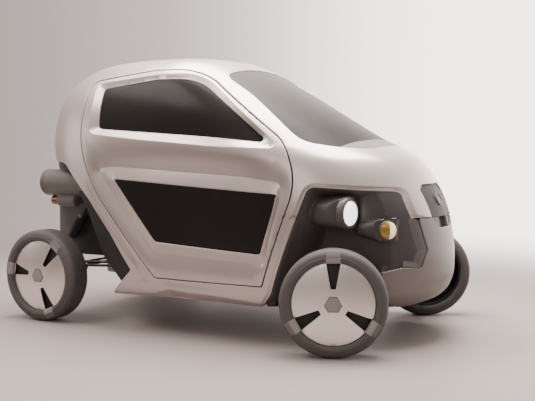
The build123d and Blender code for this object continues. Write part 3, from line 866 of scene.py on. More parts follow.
roof_back = smooth_line([(-.97, -.365), (-.990, -.30), (-.9985, -.15), (-1.0, 0)])
roof_poly = np.concatenate([grow(np.concatenate([roof_line_xy, roof_back[1:]]), 0), [[.171, 0]]])
roof_front = resample(np.array([[.168, -.335], [.168, 0]]), .012, False)
roof_poly[:, 0] = np.minimum(roof_poly[:, 0], .168)
roof_middle = resample(np.array([[-1.01, 0.0], [.175, 0.0]]), .014, False)
roof_panel = Panel(roof_at, [(roof_poly[:-1], False), (roof_front, False), (roof_middle, False)], lambda uv: inside(uv, roof_poly) & (uv[:, 1] < 0),
                   ((-1.02, -.52), (.18, 0)), STEP * 1.4, radius=.004, depth=.024, centre=mid_plane)
set_up(roof_panel.doubled().build("roof_skin"), M_PAINT, "body", ["roof_panel"])

# front clip
NOSE = [(0, 697, 0), (-146, 697, 0), (-162, 841, 0), (-120, 872, 0), (0, 872, 0)]
nose_line = fillet(NOSE[1:], closed=False)
nose_edge = flat(from_end(nose_line, True))
nose_poly = np.concatenate([nose_edge, [[-.1, nose_edge[-1, 1]], [-.1, .6], [nose_edge[0, 0], .6]]])
seam_line = resample(np.array([[-.01, SEAM_TOP], [.6, SEAM_TOP]]), .012, False)
seam_line[0, 0] = 0
clip_cut = np.concatenate([[[-.1, SEAM_TOP]], [[flat(from_side([[.775, SEAM_TOP]]))[0, 0], SEAM_TOP]], clip_line[::-1]])
door_side_clip = door_hole


def keep_clip(uv):
    ok = inside(uv, clip_region) | ((uv[:, 1] > SEAM_TOP) & (uv[:, 1] < .75) & (uv[:, 0] < .62))
    return ok & (uv[:, 0] > 0) & (uv[:, 1] > SEAM_TOP) & ~inside(uv, door_hole) & ~inside(uv, arch_poly) & ~inside(uv, screen_region) & ~inside(uv, nose_poly)


clip_panel = Panel(skin_map(lip), [(door_hole, True), (arch_edge, False), (screen_edge, False), (clip_line + [0, SEAM], False), (clip_top, False),
                                   (nose_edge, False), (seam_line, False), (MIDDLE_FRONT, False)],
                   keep_clip, ((0, SEAM_TOP), (1.1, 1.2)), STEP, rows=[(lip_line, False)], radius=.0035, depth=.022, centre=mid_plane,
                   flush=not_seam)
set_up(clip_panel.doubled().build("front_clip_skin"), M_PAINT, "body", ["front_clip"])

# bumper
bumper_seam = resample(np.array([[-.01, bumper_top], [.6, bumper_top]]), .012, False)
bumper_seam[0, 0] = 0
bumper_low = resample(np.array([[-.01, .20], [.8, .20]]), .012, False)
bumper_low[0, 0] = 0
NOTCH = [(-146, 700), (-112, 640), (0, 636)]
notch_line = fillet(NOTCH, closed=False)
notch_edge = flat(from_end(notch_line, True))
notch_poly = np.concatenate([notch_edge, [[-.1, notch_edge[-1, 1]], [-.1, .75], [notch_edge[0, 0], .75]]])


def keep_bumper(uv):
    P = uv
    x_cut = flat(from_side(np.stack([np.full(40, 1.160), np.linspace(.19, .43, 40)], -1)))
    behind = np.interp(uv[:, 1], x_cut[:, 1], x_cut[:, 0])
    return ((uv[:, 0] > 0) & (uv[:, 1] < bumper_top) & (uv[:, 1] > .20) & ~inside(uv, arch_seen_poly) & ~inside(uv, notch_poly)
            & (uv[:, 0] < behind) & (uv[:, 0] < .6))


side_cut = flat(from_side(resample(np.array([[1.160, .19], [1.160, .42]]), .012, False)))
arch_seen_edge = flat(from_side(fillet([c if c[:2] != (1250, 484) else (1246, 440, 0) for c in ARCH], closed=False)))
arch_seen_poly = np.concatenate([arch_seen_edge, [[arch_seen_edge[-1, 0], .1], [arch_seen_edge[0, 0], .1]]])
bumper_panel = Panel(skin_map(None), [(arch_seen_edge, False), (bumper_seam, False), (bumper_low, False), (notch_edge, False), (side_cut, False),
                                                 (MIDDLE_FRONT, False)],
                     keep_bumper, ((0, .2), (.7, .7)), STEP, radius=.006, depth=.022, centre=mid_plane)
set_up(bumper_panel.doubled().build("bumper_skin"), M_BUMPER_WITH_PAINTED_SHADE, "body", ["front_bumper"])

# windscreen
screen_in = flat(from_top(smooth_line(SCREEN)))
COWL = [(.938, 0), (.937, -.10), (.927, -.19), (.908, -.32), (.900, -.37), (.893, -.42), (.888, -.47)]
cowl_edge = flat(from_top(smooth_line(COWL)))
cowl_poly = np.concatenate([cowl_edge, [[cowl_edge[-1, 0], .9], [-.1, .9], [-.1, cowl_edge[0, 1]]]])


def sunk(depth):
    def at(uv):
        P = skin(uv[:, 0], uv[:, 1])
        return P - gradient(P) * depth
    return at


screen_panel = Panel(sunk(.007), [(screen_edge, False), (cowl_edge, False), (MIDDLE_FRONT, False)],
                     lambda uv: (uv[:, 0] > 0) & inside(uv, screen_region) & ~inside(uv, cowl_poly),
                     ((0, 1.0), (.75, 1.56)), STEP * 1.5, radius=.0015, depth=.005, centre=mid_plane, arc=2)
set_up(screen_panel.doubled().build("windscreen_glass"), M_SCREEN_PAINTED_REFLECTION, "body", ["windscreen"])
cowl_panel = Panel(sunk(.004), [(screen_edge, False), (cowl_edge, False), (MIDDLE_FRONT, False)],
                   lambda uv: (uv[:, 0] > 0) & inside(uv, screen_region) & inside(uv, cowl_poly),
                   ((0, 1.0), (.75, 1.2)), STEP, radius=.002, depth=.008, centre=mid_plane, arc=2)
set_up(cowl_panel.doubled().build("cowl_panel"), M_TRIM, "body", ["cowl_plate"])

# door glass
for which, line, deep in (("upper", upper_glass_line, -.0015), ("lower", lower_glass_line, -.0062)):
    g = grow(line, -.0008)
    pane_ = Panel(side_map(lambda x, z, deep=deep, w=which: np.full(len(x), deep) - (sill_deep(z) if w == "upper" else 0)), [(g, True)], lambda uv, g=g: inside(uv, g), (g.min(0), g.max(0)),
                  .03, radius=.001, depth=.005, arc=1)
    for side, p in (("right", pane_), ("left", pane_.mirrored())):
        nodes = ["door_glass_" + side] if which == "upper" else ["door_glass_" + side]
        set_up(p.build(which + "_glass_" + side), M_SIDE_GLASS, "door_" + side, nodes)

# tailgate and rear window
REAR_WINDOW = [(0, 1135, 0), (-375, 1135, 40), (-365, 1240, 60), (-310, 1425, 50), (0, 1425, 0)]
rw_edge = flat(from_end(fillet(REAR_WINDOW, closed=False), False))
rw_poly = close_behind(rw_edge)
tail_poly = tail_region


def tail_at(uv):
    return skin(uv[:, 0], uv[:, 1])


tail_panel = Panel(tail_at, [(tail_edge, False), (rw_edge, False), (MIDDLE_REAR, False)],
                   lambda uv: (uv[:, 0] < math.pi) & inside(uv, tail_poly) & ~inside(uv, rw_poly),
                   ((2.3, 1.0), (math.pi, 1.5)), STEP, radius=.0035, depth=.028, centre=mid_plane)
set_up(tail_panel.doubled().build("tailgate_skin"), M_PAINT, "tailgate", ["tailgate"])
rw_panel = Panel(sunk(.006), [(rw_edge, False), (MIDDLE_REAR, False)], lambda uv: (uv[:, 0] < math.pi) & inside(uv, rw_poly),
                 ((2.3, 1.1), (math.pi, 1.5)), STEP * 1.5, radius=.0015, depth=.005, centre=mid_plane, arc=2)
set_up(rw_panel.doubled().build("rear_window_glass"), M_SIDE_GLASS, "tailgate", ["rear_window"])

# ---------------------------------------------------------------------------
# solids
# ---------------------------------------------------------------------------


def placed(P, centre=(0, 0, 0), degrees=0.0):
    """Turned about the vertical and moved."""
    a = math.radians(degrees)
    c, s = math.cos(a), math.sin(a)
    P = np.asarray(P, float)
    return np.stack([centre[0] + c * P[:, 0] - s * P[:, 1], centre[1] + s * P[:, 0] + c * P[:, 1], centre[2] + P[:, 2]], -1)


def framed(P, centre, axis, up=(0, 0, 1)):
    """Local (right, along, up) points taken to a place whose axis points outwards."""
    o = np.array(axis, float)
    o /= np.linalg.norm(o)
    r = np.cross(up, o)
    r /= np.linalg.norm(r)
    u = np.cross(o, r)
    P = np.asarray(P, float)
    return np.array(centre, float) + P[:, :1] * r - P[:, 1:2] * o + P[:, 2:3] * u


def lathe(profile, n=64, shift=None, angles=None):
    """Line of (radius, along) points turned round; along runs outwards (local -y). Points on the axis become poles."""
    if angles is None:
        angles = [2 * math.pi * i / n for i in range(n)]
    n, m = len(angles), len(profile)
    poles = [j for j in range(m) if profile[j][0] < 1e-7]
    closed = not poles
    V, index = [], {}
    for j in poles:
        index[(0, j)] = len(V)
        for i in range(n):
            index[(i, j)] = len(V)
        V.append((0, -profile[j][1], 0))
    for i, t in enumerate(angles):
        for j, (r, a) in enumerate(profile):
            if j in poles:
                continue
            dr, da = shift(t, j) if shift else (0, 0)
            index[(i, j)] = len(V)
            V.append(((r + dr) * math.cos(t), -(a + da), (r + dr) * math.sin(t)))
    F = []
    for i in range(n):
        k = (i + 1) % n
        for j in range(m if closed else m - 1):
            l = (j + 1) % m
            f = [index[(i, j)], index[(i, l)], index[(k, l)], index[(k, j)]]
            f = [v for q, v in enumerate(f) if v not in f[:q]]
            if len(f) > 2:
                F.append(f)
    return np.array(V), F


def prism(outline, a0, a1, axis="y"):
    """Closed line drawn out along an axis: (x, z) along y, (y, z) along x or (x, y) along z."""
    n = len(outline)
    V = []
    for a in (a0, a1):
        for p, q in outline:
            V.append({"y": (p, a, q), "x": (a, p, q), "z": (p, q, a)}[axis])
    F = [list(range(n)), list(range(2 * n - 1, n - 1, -1))]
    F += [[i, (i + 1) % n, n + (i + 1) % n, n + i] for i in range(n)]
    return np.array(V), F


def box(x0, x1, y0, y1, z0, z1):
    return prism([(x0, z0), (x1, z0), (x1, z1), (x0, z1)], y0, y1)


def join(parts):
    V, F, k = [], [], 0
    for v, f in parts:
        V.append(np.asarray(v, float))
        F += [[i + k for i in q] for q in f]
        k += len(v)
    return np.concatenate(V), F


def solid(name, V, F, sharp=32, bevel=0.0, segments=2, smooth=0):
    """Closed mesh with outward faces, its sharp edges rounded when asked."""
    obj = make(name, V, F)
    bm = bmesh.new()
    bm.from_mesh(obj.data)
    bmesh.ops.recalc_face_normals(bm, faces=bm.faces)
    if bevel:
        edges = [e for e in bm.edges if len(e.link_faces) == 2 and e.calc_face_angle(0) > math.radians(sharp)]
        bmesh.ops.bevel(bm, geom=edges, offset=bevel, segments=segments, profile=.5, affect="EDGES", clamp_overlap=True)
    bm.to_mesh(obj.data)
    bm.free()
    obj.data.polygons.foreach_set("use_smooth", [True] * len(obj.data.polygons))
    obj.data.set_sharp_from_angle(angle=math.radians(sharp if not bevel else 50))
    obj.data.update()
    return obj


def applied(obj, name):
    """The object with its modifiers applied, as a new one."""
    bpy.context.view_layer.update()
    mesh = bpy.data.meshes.new_from_object(obj.evaluated_get(bpy.context.evaluated_depsgraph_get()))
    bpy.data.objects.remove(obj)
    mesh.name = name
    return new_object(name, mesh)


def fuse(name, parts, voxel=.007, smooth=6):
    """Closed forms melted into one moulded body."""
    V, F = join(parts)
    obj = make(name + "_raw", V, F)
    m = obj.modifiers.new("fuse", "REMESH")
    m.mode = "VOXEL"
    m.voxel_size = voxel * 1
    m.use_smooth_shade = True
    s = obj.modifiers.new("ease", "SMOOTH")
    s.factor, s.iterations = .5, smooth
    return applied(obj, name)


# ---------------------------------------------------------------------------
# wheels
# ---------------------------------------------------------------------------

M_TYRE = plastic("tyre_rubber", (.080, .0715, .0675), rough=.74, grain=.10, scale=420.0, spread=.08)
M_DISC = metal("satin_silver_disc", (.80, .728, .69), rough=.33, brushed=14.0)
M_CLIP = plastic("grey_clip", (.24, .220, .210), rough=.45, grain=.05)
# darker copy of the clip colour: painted shade for the clips' outer part on the tyre's shoulder
M_CLIP_SHOULDER_PAINTED_SHADE = plastic("clip_shoulder_painted_shade", (.125, .113, .107), rough=.55, grain=.05)
M_CAP = plastic("grey_hub_cap", (.25, .222, .210), rough=.40, grain=.05)
M_VOID = plastic("black_wheel_inside", (.006, .0056, .0054), rough=.6)


def tyre(half, grooves):
    side = [(217, -16), (219, -8), (224, -3), (231, -.6), (240, 0), (242.5, -.4), (244, -2.6), (252, -4.4), (260, -7.5), (267, -12), (273, -18),
            (277, -25), (279.3, -34), (280, -43)]
    tread = []
    for g, w in grooves:
        tread += [(280, g + w), (280 - 3, g + w * .6), (280 - 3, g - w * .6), (280, g - w)]
    outer = [(r / 1000, half + a / 1000) for r, a in side]
    middle = [(r / 1000, a / 1000) for r, a in tread if abs(a / 1000) < half - .043]
    profile = outer + middle + [(r, -a) for r, a in reversed(outer)]
    profile += [(.2165, -half + .018), (.2165, half - .018)]
    seams = [math.radians(a) for a in (30, 150, 270)]
    angles = [2 * math.pi * i / 144 for i in range(144)]
    for s in seams:
        angles = [a for a in angles if abs(a - s) > .012]
        angles += [s + d for d in (-.0085, -.0035, 0, .0035, .0085)]
    angles.sort()
    k = len(outer)

    def shift(t, j):
        deep = .0016 if any(abs(t - s) < .001 for s in seams) else 0
        if 3 <= j < k - 1:
            return (-deep * (j - 3) / (k - 4), -deep)
        return (0, 0)

    return lathe(profile, shift=shift, angles=angles)


def slot_line(degrees):
    pts = fillet([(79, -12.5, 4), (209, -36, 3), (209, 36, 3), (79, 12.5, 4)], step=.02)
    a = math.radians(degrees)
    c, s = math.cos(a), math.sin(a)
    return np.stack([pts[:, 0] * c - pts[:, 1] * s, pts[:, 0] * s + pts[:, 1] * c], -1)


def circle(r, n):
    t = np.arange(n) * 2 * math.pi / n
    return np.stack([r * np.cos(t), r * np.sin(t)], -1)


def plane_panel(lines, keep, extent, step, depth_of, rows=(), radius=.002, thick=.008, arc=3):
    def at(uv):
        return np.stack([uv[:, 0], -depth_of(uv), uv[:, 1]], -1)
    return Panel(at, lines, keep, ((-extent, -extent), (extent, extent)), step, rows=rows, radius=radius, depth=thick, arc=arc,
                 out=(0, -1, 0))


def disc(face, first):
    slots = [slot_line(first + 120 * k) for k in range(3)]
    rim = circle(.2145, 144)
    crease = circle(.2065, 96)

    def depth_of(uv):
        r = np.hypot(uv[:, 0], uv[:, 1])
        return face + .0085 - .0135 * (r / .2) ** 2 - .0020 * smoothstep(.206, .2135, r)

    def keep(uv):
        ok = np.hypot(uv[:, 0], uv[:, 1]) < .2145
        for s in slots:
            ok &= ~inside(uv, s)
        return ok

    return plane_panel([(rim, True)] + [(s, True) for s in slots], keep, .215, .016, depth_of, radius=.0022,
                       thick=.010)


def hexagon(grown=0.0):
    out = []
    for k in range(3):
        a = math.radians(90 + 120 * k)
        for t in (-18, 18):
            out.append((.039 * math.cos(a) + t / 1000 * math.sin(a), .039 * math.sin(a) - t / 1000 * math.cos(a)))
    P = np.array(out)
    P = P[np.argsort(np.arctan2(P[:, 1], P[:, 0]))]
    P = P * (1 + grown / .039)
    return fillet([(x * 1000, y * 1000, 3) for x, y in P], step=.01)


def clip(half, degrees):
    """Bridge from the disc over the tyre's sidewall on to its shoulder."""
    path = [(208.5, -15, 37), (210, -10, 37), (213, -6, 37), (219, -1, 37), (226, 1.4, 37), (240, 2.0, 37), (244, 1.0, 36.5), (253, -2.0, 35),
            (261, -5.6, 34), (268, -10.5, 33)]
    V, F = [], []
    for i, (rho, a, w) in enumerate(path):
        p, q = path[max(i - 1, 0)], path[min(i + 1, len(path) - 1)]
        t = np.array([q[0] - p[0], q[1] - p[1]], float)
        t /= np.linalg.norm(t)
        n = np.array([-t[1], t[0]])
        for lat, down in ((-w, 6), (-w, 1.8), (-w + 1.8, 0), (w - 1.8, 0), (w, 1.8), (w, 6)):
            drop = rho - (math.sqrt(rho * rho - lat * lat) if i > 6 else rho)
            V.append((lat / 1000, -(half + (a - n[1] * down) / 1000), (rho - n[0] * down - drop) / 1000))
    for i in range(len(path) - 1):
        for j in range(6):
            k = (j + 1) % 6
            F.append([i * 6 + j, i * 6 + k, i * 6 + 6 + k, i * 6 + 6 + j])
    F += [list(range(6)), list(range(len(V) - 1, len(V) - 7, -1))]
    V = np.array(V)
    a = math.radians(degrees - 90)
    c, s = math.cos(a), math.sin(a)
    return np.stack([V[:, 0] * c - V[:, 2] * s, V[:, 1], V[:, 0] * s + V[:, 2] * c], -1), F


def barrel(half, face):
    """Dark inside of the rim with the hub and the brake drum."""
    rim = lathe([(.2155, -half + .020), (.2155, face - .011), (.2035, face - .012), (.2035, -half + .026), (.2075, -half + .020)], 72)
    drum = lathe([(.0, face - .008), (.046, face - .008), (.060, face - .020), (.200, face - .020), (.2038, face - .022), (.2038, face - .027),
                  (.050, face - .030), (.046, face - .034), (.046, face - .044), (.0185, face - .044), (.0185, face - .012), (.0, face - .0119)], 48)
    return join([rim, drum])


WHEELS = [("front_right", .990, -.668, 23.8, .0725, 90), ("front_left", .990, .668, 203.8, .0725, 90),
          ("rear_right", -.990, -.657, 0.0, .084, 52), ("rear_left", -.990, .657, 180.0, .084, 52)]
forms = {}
for name, x, y, turn, half, first in WHEELS:
    face = half - .014
    kind = name.split("_")[0]
    if kind not in forms:
        grooves = [(22, 2.0), (-22, 2.0)] if kind == "front" else [(36, 1.5), (18, 1.5), (0, 1.5), (-18, 1.5), (-36, 1.5)]
        hexa, outline = hexagon(), hexagon(.003)
        forms[kind] = dict(
            tyre=tyre(half, grooves), disc=disc(face, first),
            cap=plane_panel([(hexa, True)], lambda uv, h=hexa: inside(uv, h), .06, .012,
                            lambda uv, f=face: f + .0122 - np.sum(uv * uv, 1), radius=.0018, thick=.006),
            line=plane_panel([(outline, True)], lambda uv, h=outline: inside(uv, h), .06, .014, lambda uv, f=face: np.full(len(uv), f + .0088),
                             radius=.0005, thick=.004, arc=1),
            clips=join([clip(half, first + 120 * k) for k in range(3)]), barrel=barrel(half, face))
    f = forms[kind]
    at, body, centre = (x, y, .280), "wheel_" + name, (x, y, .280)
    V, F = f["tyre"]
    set_up(solid("tyre_skin_" + name, placed(V, centre, turn), F, sharp=28), M_TYRE, body, ["tyre_" + name])
    for part, mat in (("disc", M_DISC), ("cap", M_CAP), ("line", M_VOID)):
        p = f[part]
        obj = make("wheel_" + part + "_" + name, placed(p.V, centre, turn), p.faces, placed(p.normals, (0, 0, 0), turn))
        set_up(obj, mat, body, ["wheel_" + name])
    V, F = f["clips"]
    obj = solid("wheel_clips_" + name, placed(V, centre, turn), F, sharp=30)
    obj.data.materials.clear()
    obj.data.materials.append(M_CLIP)
    obj.data.materials.append(M_CLIP_SHOULDER_PAINTED_SHADE)
    out_ = placed([[0, -1, 0]], (0, 0, 0), turn)[0]
    # painted shade: clip faces more than .2415 from the wheel's axis take the darker copy of the clip colour
    for q in obj.data.polygons:
        d_ = np.array(q.center) - [x + DX, y, .280]
        q.material_index = 1 if np.linalg.norm(d_ - (d_ @ out_) * out_) > .2415 else 0
    set_up(obj, None, body, ["wheel_" + name])
    V, F = f["barrel"]
    set_up(solid("wheel_barrel_" + name, placed(V, centre, turn), F, sharp=30), M_VOID, body, ["wheel_" + name])

# ---------------------------------------------------------------------------
# dark moulding in the front arches, with the lamp nacelles
# ---------------------------------------------------------------------------

M_LINER = plastic("dark_arch_moulding", (.052, .046, .0435), rough=.44, grain=.05, scale=900.0)
HEAD = (-.500, .728)
AMBER = (-.400, .639)


def smax(a, b, k):
    h = np.clip(.5 + .5 * (a - b) / k, 0, 1)
    return b + (a - b) * h + k * h * (1 - h)


def liner_depth(x, z):
    """Distance of the moulding from the middle plane."""
    p = np.stack([x, z], -1)
    d = distance(p, arch_side, False)
    out = ~inside(p, np.concatenate([arch_side, [[1.160, .1], [.548, .1]]]))
    d = np.where(out, -d, d)
    body = -side_y(x, z)
    wall = np.interp(x, [.70, 1.05, 1.19, 1.25, 1.33], [.418, .412, .392, .362, .33])
    base = np.minimum(wall, body - .022)
    dd = np.maximum(d, 0)
    rim = body - .024 - 2.7 * dd * dd / (dd + .035)
    side = smoothstep(1.23, 1.15, x)
    out = smax(base, np.where(side > 0, rim * side + (base - .05) * (1 - side), base - .05), .012)
    # headlight
    r = np.interp(x, [.740, .790, .835, .97], [.050, .068, .080, .0865])
    t = np.clip(np.abs(z - HEAD[1]) / r, 0, 1)
    tube = np.interp(x, [.74, .80, .90], [.47, .49, .50]) + r * np.sqrt(np.maximum(1 - t ** 2.2, 0))
    flank = tube - np.maximum(np.abs(z - HEAD[1]) - r * .985, 0) * 9
    tube = np.where(t >= 1, flank, tube)
    tube = tube - smoothstep(1.0005, 1.012, x) * .6
    out = smax(out, tube, .014)
    # indicator
    r = np.interp(x, [.90, 1.018, 1.129], [.028, .044, .0575])
    n = np.interp(x, [1.05, 1.15], [2.0, 4.5])
    t = np.clip(np.abs(z - AMBER[1]) / r, 0, 1)
    h = np.maximum(1 - t ** n, 0) ** (1 / n)
    nac = np.interp(x, [.90, 1.018, 1.129], [.352, .394, .402]) + np.interp(x, [.90, 1.129], [.03, .056]) * h
    nac = nac - np.maximum(np.abs(z - AMBER[1]) - r * .985, 0) * 8
    cut = .460 - np.maximum(x - 1.128, 0) * 1.02
    nac = np.minimum(np.minimum(nac, cut), body - .009) - smoothstep(1.2125, 1.222, x) * .4
    return np.minimum(smax(out, nac, .008), body - .006)


ARCH_SEEN = [c if c[:2] != (1250, 484) else (1246, 440, 0) for c in ARCH]
arch_seen = fillet(ARCH_SEEN, closed=False)
liner_edge = grow(np.concatenate([arch_seen, [[1.160, .206], [.548, .206]]])[1:], 0.0)
low_side = np.array([c for c in arch_seen if c[1] > .206])
liner_line = np.concatenate([[[.560, .206]], grow(np.concatenate([low_side, [[1.150, .206], [.560, .206]]]), .010)[:len(low_side)], [[1.150, .206]]])
liner_line[:, 0] = np.maximum(liner_line[:, 0], .553)
liner_line[:, 1] = np.maximum(liner_line[:, 1], .206)
liner_line = liner_line[:-1] if np.linalg.norm(liner_line[-1] - liner_line[0]) < 1e-6 else liner_line


def liner_at(uv):
    return np.stack([uv[:, 0], -liner_depth(uv[:, 0], uv[:, 1]), uv[:, 1]], -1)


rows_l = []
for z, x0, x1 in ((HEAD[1] + .0865, .86, 1.0), (HEAD[1] - .0865, .86, 1.0)):
    rows_l.append((resample(np.array([[x0, z], [x1, z]]), .010, False), False))
for x, z0, z1 in ((1.0, .648, .808), (1.011, .648, .808)):
    rows_l.append((resample(np.array([[x, z0], [x, z1]]), .006, False), False))
for z in (AMBER[1] + .057, AMBER[1] - .057):
    rows_l.append((resample(np.array([[1.06, z], [1.20, z]]), .008, False), False))
rows_l.append((resample(np.array([[1.2125, AMBER[1] - .05], [1.2125, AMBER[1] + .05]]), .008, False), False))
rows_l.append((resample(np.array([[1.128, AMBER[1] - .05], [1.128, AMBER[1] + .05]]), .008, False), False))
liner = Panel(liner_at, [(liner_line, True)], lambda uv: inside(uv, liner_line), (liner_line.min(0), liner_line.max(0)), .0085,
              rows=rows_l, radius=.001, depth=.005, arc=1, out=(0, -1, 0), row_gap=.004)
for side, p in (("right", liner), ("left", liner.mirrored())):
    set_up(p.build("arch_moulding_" + side), M_LINER, "body", ["headlight_pods"])

# bumper's sunk side facet, coloured as a darker copy of the bumper's colour for painted shade
M_SUNK_BUMPER_PAINTED_SHADE = plastic("sunk_bumper_painted_shade", (.105, .094, .089), rough=.44, grain=.05)
FACET = [(1264, 696, 0), (1286, 690, 0), (1327, 525, 10), (1309, 430, 10), (1244, 441, 0), (1252, 498, 0), (1204, 687, 0)]
facet_line = fillet(FACET)


def facet_at(uv):
    P = from_side(uv)
    outer = distance(uv, fillet(FACET[1:5], closed=False), False)
    return P - gradient(P) * (.003 + .30 * np.clip(outer, 0, .05))[:, None]


facet = Panel(facet_at, [(facet_line, True)], lambda uv: inside(uv, facet_line), (facet_line.min(0), facet_line.max(0)), .012, radius=.0012,
              depth=.010, arc=1, out=(.7, -.7, 0))
for side, p in (("right", facet), ("left", facet.mirrored())):
    set_up(p.build("bumper_facet_" + side), M_SUNK_BUMPER_PAINTED_SHADE, "body", ["front_bumper"])

# ---------------------------------------------------------------------------
# front lamps
# ---------------------------------------------------------------------------

M_BEZEL = plastic("lamp_bezel", (.10, .09, .085), rough=.40, grain=.04)
M_TUBE = plastic("headlight_tube_ring", (.075, .067, .063), rough=.40, grain=.04)
M_WHITE = lens("lit_headlight_lens", (.95, .94, .93), (1, .985, .97), 2.6)
M_AMBER = lens("amber_lens", (.26, .15, .02), (.55, .30, .03), .13)
# painted highlight: a brighter, more strongly glowing copy of the amber lens for one half of its ridge
M_AMBER_PAINTED_HIGHLIGHT = lens("amber_lens_painted_highlight", (.75, .62, .28), (1.0, .86, .45), .75)
bezel = lathe([(.0640, .000), (.0665, .0045), (.0710, .0072), (.0775, .0068), (.0835, .0025), (.0866, -.0060), (.0865, -.030), (.0640, -.030)], 72)
lamp = lathe([(0, .0115), (.020, .0112), (.040, .0100), (.054, .0074), (.0625, .0030), (.0642, -.004), (.0642, -.014), (0, -.015)], 72)
for side, s in (("right", -1), ("left", 1)):
    V, F = bezel
    set_up(solid("headlight_bezel_" + side, framed(V, (1.003, .503 * s, .728), (1, .14 * s, 0)), F, sharp=40), M_TUBE, "body",
           ["headlight_pods"])
    V, F = lamp
    set_up(solid("headlight_lens_" + side, framed(V, (1.0075, .5036 * s, .728), (1, .14 * s, 0)), F, sharp=50), M_WHITE, "body",
           ["headlight_lenses"])


def amber_lens():
    """Round lens with an upright ridge across its middle."""
    V, F, mats = [], [], []
    n, rings, r = 48, 7, .0455
    for k in range(rings + 1):
        q = k / rings
        for i in range(n):
            t = 2 * math.pi * i / n
            u, w = r * q * math.cos(t), r * q * math.sin(t)
            h = .024 * (1 - abs(u) / r) * math.sqrt(max(1 - (w / r) ** 2 * .8, 0)) * (1 - q ** 8 * .5)
            V.append((u, -h, w))
    for k in range(rings):
        for i in range(n):
            j = (i + 1) % n
            f = [k * n + i, k * n + j, (k + 1) * n + j, (k + 1) * n + i]
            mid = sum(V[v][0] for v in f) / 4
            F.append(f)
            # painted highlight and shade: the ridge's local +x half takes the bright copy, the other half the plain,
            # darker amber
            mats.append(1 if mid > 0 else 0)
    base = len(V)
    for i in range(n):
        t = 2 * math.pi * i / n
        V.append((r * math.cos(t), .012, r * math.sin(t)))
    for i in range(n):
        j = (i + 1) % n
        F.append([rings * n + i, rings * n + j, base + j, base + i])
        mats.append(0)
    F.append([base + i for i in range(n)])
    mats.append(0)
    return np.array(V), F, mats


for side, s in (("right", -1), ("left", 1)):
    V, F, mats = amber_lens()
    axis = np.array([.72, .69 * s, 0])
    V = framed(V, (1.178 + .003, .407 * s + .003 * s, .639), axis)
    # on the mirrored lens the painted-highlight half swaps over
    if s > 0:
        mats = [1 - m if m in (0, 1) and i < 7 * 48 else m for i, m in enumerate(mats)]
    obj = solid("indicator_lens_" + side, V, F, sharp=24)
    obj.data.materials.clear()
    obj.data.materials.append(M_AMBER)
    obj.data.materials.append(M_AMBER_PAINTED_HIGHLIGHT)
    if len(obj.data.polygons) == len(mats):
        obj.data.polygons.foreach_set("material_index", mats)
    set_up(obj, None, "body", ["indicator_lamps"])
    ring_ = lathe([(.0455, -.010), (.0455, .0015), (.0475, .0030), (.0500, .0010), (.0515, -.0040), (.0515, -.010)], 48)
    V = framed(ring_[0], (1.178 + .001, .407 * s + .001 * s, .639), axis)
    set_up(solid("indicator_ring_" + side, V, ring_[1], sharp=40), M_BEZEL, "body", ["indicator_lamps"])

# ---------------------------------------------------------------------------
# nose
# ---------------------------------------------------------------------------

M_NOSE = plastic("grey_nose_panel", (.034, .030, .0282), rough=.58, grain=.05)
nose_in = Panel(sunk(.010), [(nose_edge, False), (seam_line, False), (MIDDLE_FRONT, False)],
                lambda uv: (uv[:, 0] > 0) & inside(uv, nose_poly) & (uv[:, 1] > SEAM_TOP), ((0, SEAM_TOP), (.2, .9)), STEP, radius=.001, depth=.008,
                centre=mid_plane, arc=1)
set_up(nose_in.doubled().build("nose_panel_face"), M_NOSE, "body", ["nose_panel"])
zc = .790
nose_at = np.array([float(end_x(np.array([0.0]), np.array([zc]), True)[0]), 0, zc])
nose_n = gradient(nose_at[None])[0]
nose_n[1] = 0
boss = lathe([(0, .004), (.022, .0045), (.0245, .0038), (.026, .0020), (.030, .0020), (.0315, .0052), (.0345, .0062), (.0372, .0048), (.038, 0),
              (.038, -.006), (0, -.006)], 48)
set_up(solid("nose_boss", framed(boss[0], nose_at - nose_n * .010, nose_n), boss[1], sharp=35), M_BEZEL, "body", ["nose_panel"])


def notch_at(uv):
    P = skin(uv[:, 0], uv[:, 1])
    y = np.abs(P[:, 1])
    deep = .014 + .030 * smoothstep(.064, .058, y)
    return P - gradient(P) * deep[:, None]


# the notch's sunk tray takes the same painted-shade colour
wide_notch = grow(np.concatenate([notch_edge, [[-.05, notch_edge[-1, 1]], [-.05, .70], [notch_edge[0, 0], .70]]]), .008)
tray = Panel(notch_at, [(seam_line, False), (MIDDLE_FRONT, False)], lambda uv: (uv[:, 0] > 0) & inside(uv, wide_notch) & (uv[:, 1] < SEAM_TOP), ((0, .6), (.3, .70)),
             .006, radius=.0005, depth=.005, centre=mid_plane, arc=1)
set_up(tray.doubled().build("bumper_notch"), M_SUNK_BUMPER_PAINTED_SHADE, "body", ["front_bumper"])

# ---------------------------------------------------------------------------
# dark body over the rear axle, with its pods and lamps
# ---------------------------------------------------------------------------

M_CAST = metal("cast_alloy_housing", (.22, .205, .20), rough=.5, brushed=10.0)
M_WELL = plastic("dark_rear_well", (.026, .0232, .022), rough=.5, grain=.05, scale=900.0)
M_REAR = plastic("grey_rear_moulding", (.115, .104, .099), rough=.42, grain=.05, scale=900.0)
LEG = [(-1104, 815), (-1104, 472, 14), (-1034, 472, 10), (-1012, 506, 10), (-963, 594, 8), (-915, 632, 10), (-855, 724, 20), (-795, 800, 0)]


def cylinder(r, x0, x1, y, z, n=48, ease=.012):
    """Round bar along x with rounded ends; x0 is its rear end."""
    prof = [(0, 0), (r - ease, 0), (r - ease * .3, ease * .3), (r, ease), (r, (x1 - x0) - .002), (r - .002, x1 - x0), (0, x1 - x0)]
    V, F = lathe([(a, -b) for a, b in prof], n)
    return framed(V, (x0, y, z), (-1, 0, 0)), F


